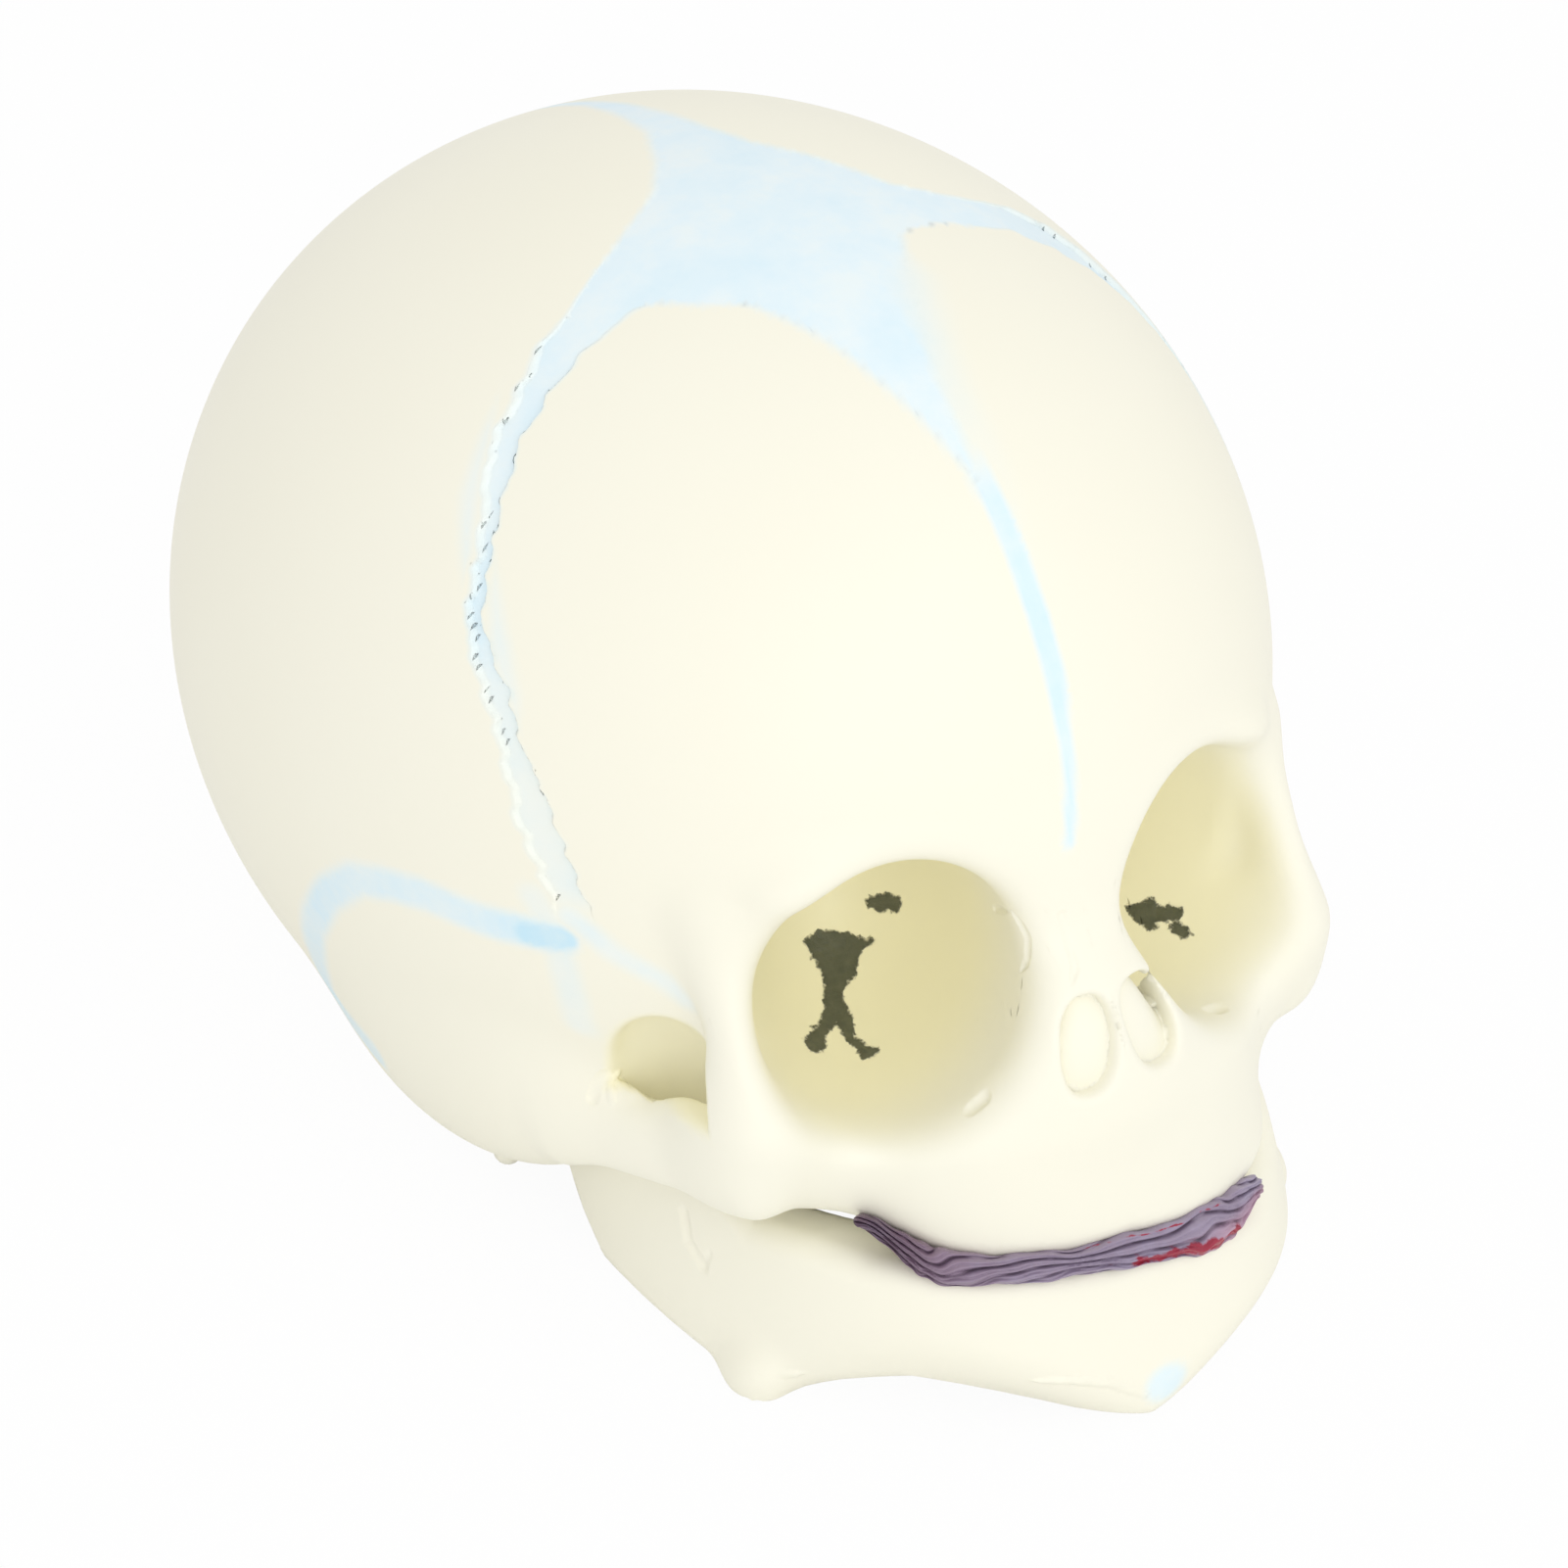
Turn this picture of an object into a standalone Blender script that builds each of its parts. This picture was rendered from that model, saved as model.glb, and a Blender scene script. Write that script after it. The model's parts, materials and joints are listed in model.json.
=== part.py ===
"""Newborn skull teaching model: cast bones, suture membrane, hinged jaw and gum strip.

The skull rests face up-tilted on the jaw border and the back of the head.
All bones are cut from one outer form, so neighbours always keep their gap.
"""
import math

import bmesh
import bpy
import numpy as np

# Whole skull
HEAD_LENGTH = 0.118
HEAD_BREADTH = 0.0924
HEAD_HEIGHT = 0.096
HEAD_TILT = math.radians(17.4)
MODULE = HEAD_LENGTH / 1.18
FLOOR_DROP = 0.0385
BASE_DROP = 0.038

# Walls, gaps and recesses
PLATE_THICKNESS = 0.0019
BASE_THICKNESS = 0.0045
ORBIT_WALL = 0.002
TEMPLE_WALL = 0.004
SEAM_GAP = 0.0004
RING_GAP = 0.00052
MEMBRANE_GAP = 0.00095
BAND_GAP = 0.00055
MEMBRANE_THICKNESS = 0.0018
MEMBRANE_RECESS = 0.0003
SUTURE_BAND = 0.0020
JAW_CLEARANCE = 0.0007

# Jaw hinge and its two pins
JAW_OPENING = math.radians(20.0)
PIN_RADIUS = 0.0010
PIN_CLEARANCE = 0.0003
PIN_LENGTH = 0.0100
PIN_OFFSET_SHARE = 0.2
PIN_SIDES = 32

# Sampling of the forms
GRID_STEP = 0.0009
JAW_GRID_STEP = 0.00075
GRID_MARGIN = 0.0030
GRID_FRONT_SHARE = -0.740
JAW_GRID_FRONT_SHARES = (-0.660, -0.600)
JAW_GRID_SIDE_SHARE = 0.360
JAW_GRID_HEIGHT_SHARE = 0.240
CROSSING_SHARES = (0.06, 0.94)
SWEEP_STEPS = 5
NEAR_ZERO = 0.0001

# Colours as light values, and roughness
BONE_COLOUR = (0.905, 0.871, 0.730)
JAW_COLOUR = (0.900, 0.860, 0.715)
MEMBRANE_COLOUR = (0.610, 0.800, 0.900)
GUM_COLOUR = (0.290, 0.180, 0.225)
STEEL_COLOUR = (0.560, 0.570, 0.580)
BONE_ROUGHNESS = 0.42
MEMBRANE_ROUGHNESS = 0.35
GUM_ROUGHNESS = 0.28
STEEL_ROUGHNESS = 0.25

# Shares of the module: centres and half sizes of the rounded masses (x, y, z)
ORBIT_CENTRE_SHARES = (0.150, -0.520, -0.156)
ORBIT_SIZE_SHARES = (0.106, 0.240, 0.122)
ORBIT_YAW = math.radians(18.0)
ORBIT_ROLL = math.radians(-25.0)
FACE_CENTRE_SHARES = (0.0, -0.410, -0.265)
FACE_SIZE_SHARES = (0.200, 0.190, 0.150)
ARCADE_CENTRE_SHARE = -0.380
ARCADE_SIZE_SHARES = (0.214, 0.213)
ARCADE_SQUARENESS = 2.2
ARCADE_RUN_SHARES = (-0.60, -0.52, -0.46, -0.38, -0.20)
ARCADE_UNDER_SHARES = (-0.406, -0.396, -0.376, -0.360, -0.350)
ARCADE_TOP_SHARE = -0.280
ARCADE_ROUND_SHARE = 0.030
BRIDGE_CENTRE_SHARES = (0.0, -0.490, -0.110)
BRIDGE_SIZE_SHARES = (0.080, 0.090, 0.120)
CHEEK_CENTRE_SHARES = (0.236, -0.433, -0.268)
CHEEK_SIZE_SHARES = (0.074, 0.070, 0.070)
BROW_CENTRE_SHARES = (0.0, -0.505, -0.045)
BROW_SIZE_SHARES = (0.245, 0.062, 0.050)
STRUT_FOOT_SHARES = (0.266, -0.480, -0.240)
STRUT_HEAD_SHARES = (0.262, -0.452, -0.070)
STRUT_RADIUS_SHARE = 0.026
ARCH_FRONT_SHARES = (0.272, -0.460, -0.292)
ARCH_REAR_SHARES = (0.335, -0.260, -0.286)
ARCH_RADIUS_SHARE = 0.021
ARCH_FLATTENING = 0.60
EAR_ROOT_CENTRE_SHARES = (0.315, -0.100, -0.260)
EAR_ROOT_SIZE_SHARES = (0.075, 0.200, 0.100)
MASTOID_CENTRE_SHARES = (0.280, -0.065, -0.335)
MASTOID_SIZE_SHARES = (0.055, 0.055, 0.055)
TEMPLE_CENTRE_SHARES = (0.300, -0.393, -0.268)
TEMPLE_SIZE_SHARES = (0.052, 0.075, 0.104)
GUARD_RUN_SHARES = (-0.480, -0.400, -0.320, -0.260)
GUARD_SIDE_SHARES = (0.265, 0.280, 0.305, 0.320)
GUARD_TOP_SHARE = -0.238
GUARD_ROUND_SHARE = 0.012
NOSE_CENTRE_SHARES = (0.0, -0.520, -0.225)
NOSE_SIZE_SHARES = (0.085, 0.092, 0.085)
NOSTRIL_CENTRE_SHARES = (0.036, -0.218)
NOSTRIL_SIZE_SHARES = (0.027, 0.048)
NOSTRIL_FLOOR_SHARE = 0.020
NOSTRIL_REAR_SHARE = -0.540
NOSTRIL_LEAN = 0.12
NOSTRIL_SQUARENESS = 2.4
PALATE_CENTRE_SHARES = (0.0, -0.340, -0.440)
PALATE_SIZE_SHARES = (0.130, 0.170, 0.100)
CORE_CENTRE_SHARES = (0.0, -0.460, -0.260)
CORE_SIZE_SHARES = (0.300, 0.240, 0.180)
PTERYGOID_TOP_SHARES = (0.080, -0.270, -0.320)
PTERYGOID_FOOT_SHARES = (0.095, -0.275, -0.400)
PTERYGOID_RADIUS_SHARE = 0.022
CONDYLE_BUMP_CENTRE_SHARES = (0.115, 0.040, -0.375)
CONDYLE_BUMP_SIZE_SHARES = (0.030, 0.070, 0.020)
FORAMEN_CENTRE_SHARE = 0.090
FORAMEN_SIZE_SHARES = (0.095, 0.125)
FORAMEN_SQUARENESS = 2.0
FORAMEN_TOP_SHARE = -0.200

# Shares of the module: jaw
JAW_CENTRE_SHARE = -0.120
JAW_SIZE_SHARES = (0.303, 0.475)
JAW_SQUARENESS = 2.5
JAW_INWARD_LEAN = 0.12
JAW_LEAN_LEVEL_SHARE = -0.460
CHIN_PLANE_SHARE = 0.477
CHIN_LEAN = 1.02
CHIN_NORMAL = (0.58, -0.815)
JAW_REAR_SHARE = -0.095
JAW_ROUND_SHARE = 0.020
JAW_RUN_SHARES = (-0.64, -0.56, -0.50, -0.45, -0.40, -0.33, -0.28, -0.20, -0.16, -0.08)
JAW_TOP_SHARES = (-0.430, -0.425, -0.410, -0.388, -0.370, -0.310, -0.295, -0.330, -0.320, -0.300)
JAW_UNDER_RUN_SHARES = (-0.64, -0.40, -0.34, -0.26, -0.20, -0.17, -0.14, -0.08)
JAW_UNDER_SHARES = (-0.640, -0.545, -0.520, -0.495, -0.460, -0.415, -0.365, -0.335)
JAW_WALL_RUN_SHARES = (-0.60, -0.45, -0.30, -0.10)
JAW_WALL_SHARES = (0.070, 0.070, 0.050, 0.045)
CONDYLE_CENTRE_SHARES = (0.280, -0.130, -0.310)
CONDYLE_SIZE_SHARES = (0.036, 0.034, 0.034)
GUM_OUTER_SHARE = 0.012
GUM_INNER_SHARE = 0.055
GUM_REAR_SHARE = -0.495
GUM_HEIGHT_SHARE = 0.034
GUM_ROUND_SHARE = 0.012
SYMPHYSIS_WIDTH_SHARE = 0.020
SYMPHYSIS_TOP_SHARE = -0.515
SYMPHYSIS_DEPTH_SHARE = 0.026

# Shares of the module: suture lines, each as a run and the edge position along it
FRONTAL_RUN_SHARES = (-0.08, -0.03, 0.04, 0.10, 0.176, 0.232, 0.293, 0.337, 0.40)
FRONTAL_EDGE_SHARES = (-0.395, -0.386, -0.377, -0.352, -0.332, -0.311, -0.286, -0.279, -0.275)
PARIETAL_RUN_SHARES = (-0.07, -0.013, 0.053, 0.116, 0.175, 0.231, 0.292, 0.347, 0.40)
PARIETAL_EDGE_SHARES = (-0.362, -0.358, -0.342, -0.324, -0.301, -0.282, -0.260, -0.242, -0.245)
METOPIC_RUN_SHARES = (-0.600, -0.580, -0.545, -0.482, -0.440, -0.387, -0.347, -0.303, -0.267)
METOPIC_EDGE_SHARES = (0.004, 0.006, 0.009, 0.017, 0.030, 0.056, 0.085, 0.141, 0.196)
SAGITTAL_RUN_SHARES = (-0.26, -0.235, -0.189, -0.142, -0.086, -0.025, 0.067, 0.38, 0.43, 0.46)
SAGITTAL_EDGE_SHARES = (0.192, 0.135, 0.080, 0.050, 0.033, 0.021, 0.010, 0.009, 0.020, 0.045)
SQUAMOUS_RUN_SHARES = (-0.40, -0.364, -0.32, -0.278, -0.232, -0.172, -0.107, -0.036, 0.046, 0.08,
                       0.11, 0.14)
SQUAMOUS_EDGE_SHARES = (-0.082, -0.080, -0.075, -0.063, -0.044, -0.045, -0.079, -0.138, -0.211,
                        -0.270, -0.340, -0.420)
BROW_SEAM_RUN_SHARES = (0.0, 0.06, 0.14, 0.20, 0.268, 0.287, 0.322, 0.343, 0.38)
BROW_SEAM_SHARES = (-0.080, -0.090, -0.095, -0.110, -0.150, -0.146, -0.111, -0.083, -0.050)
SPHENOID_RUN_SHARES = (0.0, 0.12, 0.24, 0.322, 0.339, 0.348, 0.37)
SPHENOID_EDGE_SHARES = (-0.20, -0.20, -0.27, -0.333, -0.345, -0.371, -0.40)
PETROUS_RUN_SHARES = (-0.35, -0.20, 0.05)
PETROUS_EDGE_SHARES = (0.20, 0.085, 0.085)
LAMBDA_SHARES = (0.46, 0.30)
LAMBDOID_SLOPE = 0.79
LAMBDOID_SPREAD = 0.30
LAMBDOID_STEEPNESS = 0.76
MIDLINE_STEEPNESS = 0.75
CHEEK_SEAM_SHARE = 0.175
CHEEK_SEAM_LEVEL_SHARE = -0.260
CHEEK_SEAM_SLOPE = 0.45
ARCH_ZONE_SHARES = (0.272, -0.370, -0.205)
CHEEK_REAR_SHARE = -0.430
MAXILLA_REAR_SHARE = -0.360
EXOCCIPITAL_SHARES = (0.185, 0.165, 0.040)
BASIOCCIPITAL_SHARES = (0.085, -0.020, -0.200)
ETHMOID_SHARES = (0.095, -0.520, -0.225)
NASAL_CENTRE_SHARES = (0.0, -0.595, -0.128)
NASAL_SIZE_SHARES = (0.034, 0.035, 0.042)
SEPTUM_CENTRE_SHARES = (0.0, -0.610, -0.224)
SEPTUM_SIZE_SHARES = (0.015, 0.045, 0.052)
LACRIMAL_CENTRE_SHARES = (0.042, -0.525, -0.155)
LACRIMAL_SIZE_SHARES = (0.020, 0.035, 0.045)
RING_CENTRE_SHARES = (0.318, -0.075, -0.345)
RING_RADIUS_SHARES = (0.040, 0.013)
RING_YAW = math.radians(20.0)
EAR_PIT_SHARES = (0.028, 0.028, 0.028)
VAULT_DEPTH_SHARE = 0.050

# Shares of the module: how softly masses run into each other
SOFT_SHARE = 0.060
FIRM_SHARE = 0.030
CRISP_SHARE = 0.010

# Triangles kept on each piece
FACES_FRONTAL = 1250
FACES_PARIETAL = 900
FACES_OCCIPITAL = 850
FACES_TEMPORAL = 900
FACES_SPHENOID = 900
FACES_MAXILLA = 800
FACES_CHEEK = 420
FACES_SMALL = 180
FACES_EXOCCIPITAL = 320
FACES_MEMBRANE = 3200
FACES_JAW = 1500
FACES_GUM = 500

TETRAHEDRA = (
    ((0, 0, 0), (1, 0, 0), (1, 1, 0), (1, 1, 1)),
    ((0, 0, 0), (1, 0, 0), (1, 0, 1), (1, 1, 1)),
    ((0, 0, 0), (0, 1, 0), (1, 1, 0), (1, 1, 1)),
    ((0, 0, 0), (0, 1, 0), (0, 1, 1), (1, 1, 1)),
    ((0, 0, 0), (0, 0, 1), (1, 0, 1), (1, 1, 1)),
    ((0, 0, 0), (0, 0, 1), (0, 1, 1), (1, 1, 1)),
)


# Field helpers: negative inside, in metres

def sized(shares):
    """A tuple of shares of the module as lengths."""
    return tuple(MODULE * share for share in shares)


def along(run, run_shares, edge_shares):
    """Edge position looked up along a run, both given as shares of the module."""
    return np.interp(run, sized(run_shares), sized(edge_shares))


def join(a, b, softness):
    """Soft union of two fields."""
    mix = np.clip(0.5 + 0.5 * (b - a) / softness, 0.0, 1.0)
    return b + (a - b) * mix - softness * mix * (1.0 - mix)


def meet(a, b, softness):
    """Soft intersection of two fields."""
    return -join(-a, -b, softness)


def cut(a, b, softness):
    """Field a with b taken away, the rim rounded."""
    return -join(-a, b, softness)


def all_of(*fields):
    """Hard intersection of several fields."""
    result = fields[0]
    for field in fields[1:]:
        result = np.maximum(result, field)
    return result


def any_of(*fields):
    """Hard union of several fields."""
    result = fields[0]
    for field in fields[1:]:
        result = np.minimum(result, field)
    return result


def turned(u, v, angle):
    """Two coordinates turned by an angle."""
    return (math.cos(angle) * u + math.sin(angle) * v,
            math.cos(angle) * v - math.sin(angle) * u)


def ellipsoid(point, centre, size, yaw=0.0, roll=0.0):
    """Ellipsoid mirrored to both sides of the skull."""
    x = np.abs(point[0]) - centre[0]
    y = point[1] - centre[1]
    z = point[2] - centre[2]
    x, y = turned(x, y, yaw)
    z, x = turned(z, x, roll)
    level = np.sqrt((x / size[0]) ** 2 + (y / size[1]) ** 2 + (z / size[2]) ** 2)
    slope = np.sqrt((x / size[0] ** 2) ** 2 + (y / size[1] ** 2) ** 2 + (z / size[2] ** 2) ** 2)
    return (level - 1.0) * level / (slope + NEAR_ZERO / MODULE)


def mass(point, centre_shares, size_shares, yaw=0.0, roll=0.0):
    """Ellipsoid given by shares of the module."""
    return ellipsoid(point, sized(centre_shares), sized(size_shares), yaw, roll)


def rod(point, start, end, radius, flattening=1.0):
    """Capsule on both sides; flattening below one stretches it upright."""
    span = np.subtract(end, start) * np.array((1.0, 1.0, flattening))
    x = np.abs(point[0]) - start[0]
    y = point[1] - start[1]
    z = (point[2] - start[2]) * flattening
    share = np.clip((x * span[0] + y * span[1] + z * span[2]) / span.dot(span), 0.0, 1.0)
    reach = (x - share * span[0]) ** 2 + (y - share * span[1]) ** 2 + (z - share * span[2]) ** 2
    return np.sqrt(reach) - radius


def superoval(x, y, half_x, half_y, power):
    """Flat oval of a given squareness, extruded along the third axis."""
    across = np.abs(x) / half_x + NEAR_ZERO
    ahead = np.abs(y) / half_y + NEAR_ZERO
    level = (across ** power + ahead ** power) ** (1.0 / power)
    slope = level ** (1.0 - power) * np.sqrt((across ** (power - 1.0) / half_x) ** 2
                                             + (ahead ** (power - 1.0) / half_y) ** 2)
    return (level - 1.0) / (slope + NEAR_ZERO / MODULE)


def rounded(a, b, radius):
    """Intersection of two fields with the shared edge rounded."""
    a = a + radius
    b = b + radius
    outside = np.sqrt(np.maximum(a, 0.0) ** 2 + np.maximum(b, 0.0) ** 2)
    return outside + np.minimum(np.maximum(a, b), 0.0) - radius


def block(point, centre_shares, size_shares):
    """Box on both sides given by shares of the module."""
    centre = sized(centre_shares)
    size = sized(size_shares)
    return all_of(np.abs(np.abs(point[0]) - centre[0]) - size[0],
                  np.abs(point[1] - centre[1]) - size[1],
                  np.abs(point[2] - centre[2]) - size[2])


# Frames

def to_skull(x, y, z):
    """World coordinates to the skull's own level frame."""
    z = z - FLOOR_DROP
    level_y = y * math.cos(HEAD_TILT) - z * math.sin(HEAD_TILT)
    level_z = y * math.sin(HEAD_TILT) + z * math.cos(HEAD_TILT)
    return x, level_y, level_z


def to_world(x, y, z):
    """The skull's own level frame to world coordinates."""
    world_y = y * math.cos(HEAD_TILT) + z * math.sin(HEAD_TILT)
    world_z = z * math.cos(HEAD_TILT) - y * math.sin(HEAD_TILT) + FLOOR_DROP
    return x, world_y, world_z


def height_above_floor(point):
    """Height over the plane that the skull rests on."""
    return to_world(point[0], point[1], point[2])[2]


def hinge_point():
    """Centre of one jaw condyle in the skull frame."""
    return sized(CONDYLE_CENTRE_SHARES)


# Skull forms

def braincase(point, inset=0.0, base_inset=0.0):
    """Braincase egg with its flattened base and resting land."""
    soft = MODULE * SOFT_SHARE
    half = (HEAD_BREADTH / 2.0 - inset, HEAD_LENGTH / 2.0 - inset, HEAD_HEIGHT / 2.0 - inset)
    egg = ellipsoid(point, (0.0, 0.0, 0.0), half)
    egg = meet(egg, base_inset - height_above_floor(point), soft)
    return meet(egg, base_inset - BASE_DROP - point[2], soft)


def egg_depth(point):
    """Plain braincase egg, used to tell plates from inner walls."""
    half = (HEAD_BREADTH / 2.0, HEAD_LENGTH / 2.0, HEAD_HEIGHT / 2.0)
    return ellipsoid(point, (0.0, 0.0, 0.0), half)


def orbit(point):
    """Eye socket cone."""
    return mass(point, ORBIT_CENTRE_SHARES, ORBIT_SIZE_SHARES, ORBIT_YAW, ORBIT_ROLL)


def face_form(point):
    """Upper jaw, nose bridge, cheeks, brow and cheek arches."""
    soft = MODULE * SOFT_SHARE
    form = mass(point, FACE_CENTRE_SHARES, FACE_SIZE_SHARES)
    oval = superoval(point[0], point[1] - MODULE * ARCADE_CENTRE_SHARE,
                     MODULE * ARCADE_SIZE_SHARES[0], MODULE * ARCADE_SIZE_SHARES[1],
                     ARCADE_SQUARENESS)
    lower = along(point[1], ARCADE_RUN_SHARES, ARCADE_UNDER_SHARES)
    band = np.maximum(lower - point[2], point[2] - MODULE * ARCADE_TOP_SHARE)
    form = join(form, rounded(oval, band, MODULE * ARCADE_ROUND_SHARE), soft)
    form = join(form, mass(point, BRIDGE_CENTRE_SHARES, BRIDGE_SIZE_SHARES), soft)
    form = join(form, mass(point, NOSE_CENTRE_SHARES, NOSE_SIZE_SHARES), soft)
    form = join(form, mass(point, CHEEK_CENTRE_SHARES, CHEEK_SIZE_SHARES), soft)
    strut = rod(point, sized(STRUT_FOOT_SHARES), sized(STRUT_HEAD_SHARES),
                MODULE * STRUT_RADIUS_SHARE)
    form = join(form, strut, soft)
    return join(form, mass(point, BROW_CENTRE_SHARES, BROW_SIZE_SHARES), soft)


def temple(point):
    """Hollow behind the cheek that leaves the arch standing outside it."""
    hollow = mass(point, TEMPLE_CENTRE_SHARES, TEMPLE_SIZE_SHARES)
    side = along(point[1], GUARD_RUN_SHARES, GUARD_SIDE_SHARES)
    guard = rounded(point[2] - MODULE * GUARD_TOP_SHARE, side - np.abs(point[0]),
                    MODULE * GUARD_ROUND_SHARE)
    return np.maximum(hollow, -guard)


def nostril(point, form):
    """Pocket of even depth on both sides of the nose."""
    z = point[2] - MODULE * NOSTRIL_CENTRE_SHARES[1]
    x = np.abs(point[0]) - MODULE * NOSTRIL_CENTRE_SHARES[0] + NOSTRIL_LEAN * z
    outline = superoval(x, z, MODULE * NOSTRIL_SIZE_SHARES[0], MODULE * NOSTRIL_SIZE_SHARES[1],
                        NOSTRIL_SQUARENESS)
    return all_of(outline, -form - MODULE * NOSTRIL_FLOOR_SHARE,
                  point[1] - MODULE * NOSTRIL_REAR_SHARE)


def skull_form(point):
    """Whole outer form of the skull without its jaw."""
    soft = MODULE * SOFT_SHARE
    firm = MODULE * FIRM_SHARE
    crisp = MODULE * CRISP_SHARE
    form = join(braincase(point), face_form(point), firm)
    form = join(form, mass(point, EAR_ROOT_CENTRE_SHARES, EAR_ROOT_SIZE_SHARES), soft)
    arch = rod(point, sized(ARCH_FRONT_SHARES), sized(ARCH_REAR_SHARES),
               MODULE * ARCH_RADIUS_SHARE, ARCH_FLATTENING)
    form = join(form, arch, firm)
    form = cut(form, temple(point), crisp)
    form = join(form, mass(point, MASTOID_CENTRE_SHARES, MASTOID_SIZE_SHARES), firm)
    form = join(form, rod(point, sized(PTERYGOID_TOP_SHARES), sized(PTERYGOID_FOOT_SHARES),
                          MODULE * PTERYGOID_RADIUS_SHARE), firm)
    form = join(form, mass(point, CONDYLE_BUMP_CENTRE_SHARES, CONDYLE_BUMP_SIZE_SHARES), crisp)
    form = np.maximum(form, -height_above_floor(point))
    form = cut(form, orbit(point), firm)
    form = cut(form, nostril(point, form), crisp)
    form = cut(form, mass(point, PALATE_CENTRE_SHARES, PALATE_SIZE_SHARES), firm)
    return form


def foramen(point):
    """Great opening in the skull base."""
    oval = superoval(point[0], point[1] - MODULE * FORAMEN_CENTRE_SHARE,
                     MODULE * FORAMEN_SIZE_SHARES[0], MODULE * FORAMEN_SIZE_SHARES[1],
                     FORAMEN_SQUARENESS)
    return np.maximum(oval, point[2] - MODULE * FORAMEN_TOP_SHARE)


def cavity(point):
    """Hollow of the braincase, clear of the eye sockets and the solid face."""
    soft = MODULE * SOFT_SHARE
    hollow = braincase(point, PLATE_THICKNESS, BASE_THICKNESS)
    hollow = meet(hollow, ORBIT_WALL - orbit(point), soft)
    hollow = meet(hollow, TEMPLE_WALL - temple(point), soft)
    return meet(hollow, -mass(point, CORE_CENTRE_SHARES, CORE_SIZE_SHARES), soft)


def jaw_outline(point):
    """Plan of the jaw: a broad arcade above running to a pointed chin below."""
    lean = JAW_INWARD_LEAN * np.maximum(point[2] - MODULE * JAW_LEAN_LEVEL_SHARE, 0.0)
    ahead = np.minimum(point[1] - MODULE * JAW_CENTRE_SHARE, 0.0)
    oval = superoval(np.abs(point[0]) + lean, ahead, MODULE * JAW_SIZE_SHARES[0],
                     MODULE * JAW_SIZE_SHARES[1], JAW_SQUARENESS)
    rise = np.maximum(height_above_floor(point), 0.0)
    chin = (CHIN_NORMAL[0] * np.abs(point[0]) + CHIN_NORMAL[1] * point[1]
            - MODULE * CHIN_PLANE_SHARE - CHIN_LEAN * rise)
    return meet(oval, chin, MODULE * FIRM_SHARE)


def jaw_top(point):
    """Height of the upper edge of the jaw along its run."""
    return along(point[1], JAW_RUN_SHARES, JAW_TOP_SHARES)


def jaw_form(point):
    """Lower jaw with its two branches and condyles."""
    outline = jaw_outline(point)
    under = along(point[1], JAW_UNDER_RUN_SHARES, JAW_UNDER_SHARES)
    wall = along(point[1], JAW_WALL_RUN_SHARES, JAW_WALL_SHARES)
    band = all_of(outline, -outline - wall, point[1] - MODULE * JAW_REAR_SHARE)
    rise = all_of(point[2] - jaw_top(point), under - point[2], -height_above_floor(point))
    form = rounded(band, rise, MODULE * JAW_ROUND_SHARE)
    return join(form, mass(point, CONDYLE_CENTRE_SHARES, CONDYLE_SIZE_SHARES),
                MODULE * CRISP_SHARE)


def gum_form(point):
    """Gum strip along the top of the jaw."""
    outline = jaw_outline(point)
    band = all_of(outline + MODULE * GUM_OUTER_SHARE, -outline - MODULE * GUM_INNER_SHARE,
                  point[1] - MODULE * GUM_REAR_SHARE)
    top = jaw_top(point)
    rise = np.maximum(point[2] - top - MODULE * GUM_HEIGHT_SHARE, top - SEAM_GAP - point[2])
    return rounded(band, rise, MODULE * GUM_ROUND_SHARE)


def symphysis_form(point):
    """Wedge of cartilage let into the point of the chin."""
    outline = jaw_outline(point)
    return all_of(np.abs(point[0]) - MODULE * SYMPHYSIS_WIDTH_SHARE,
                  point[2] - MODULE * SYMPHYSIS_TOP_SHARE,
                  -outline - MODULE * SYMPHYSIS_DEPTH_SHARE)


def swung(point, angle):
    """Point carried back by the jaw's opening angle about the hinge."""
    hinge = hinge_point()
    y, z = turned(point[1] - hinge[1], point[2] - hinge[2], angle)
    return point[0], y + hinge[1], z + hinge[2]


def jaw_sweep(point):
    """Space that the jaw passes through while it opens."""
    angles = np.linspace(0.0, JAW_OPENING, SWEEP_STEPS)
    return any_of(*(jaw_form(swung(point, angle)) for angle in angles)) - JAW_CLEARANCE


def ear_ring(point):
    """Ring of bone round the ear opening."""
    centre = sized(RING_CENTRE_SHARES)
    x = np.abs(point[0]) - centre[0]
    y = point[1] - centre[1]
    z = point[2] - centre[2]
    x, y = turned(x, y, RING_YAW)
    radial = np.sqrt(y ** 2 + z ** 2) - MODULE * RING_RADIUS_SHARES[0]
    return np.sqrt(radial ** 2 + x ** 2) - MODULE * RING_RADIUS_SHARES[1]


# Bone territories, one field for each bone of one side

def base_bones(side, y, z):
    """Bones beside and before the great opening."""
    exo = superoval(side, y - MODULE * EXOCCIPITAL_SHARES[2], MODULE * EXOCCIPITAL_SHARES[0],
                    MODULE * EXOCCIPITAL_SHARES[1], JAW_SQUARENESS)
    exo = np.maximum(exo, z - MODULE * FORAMEN_TOP_SHARE)
    basi = all_of(side - MODULE * BASIOCCIPITAL_SHARES[0], y - MODULE * BASIOCCIPITAL_SHARES[1],
                  MODULE * BASIOCCIPITAL_SHARES[2] - y, z - MODULE * FORAMEN_TOP_SHARE)
    return exo, basi


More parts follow.
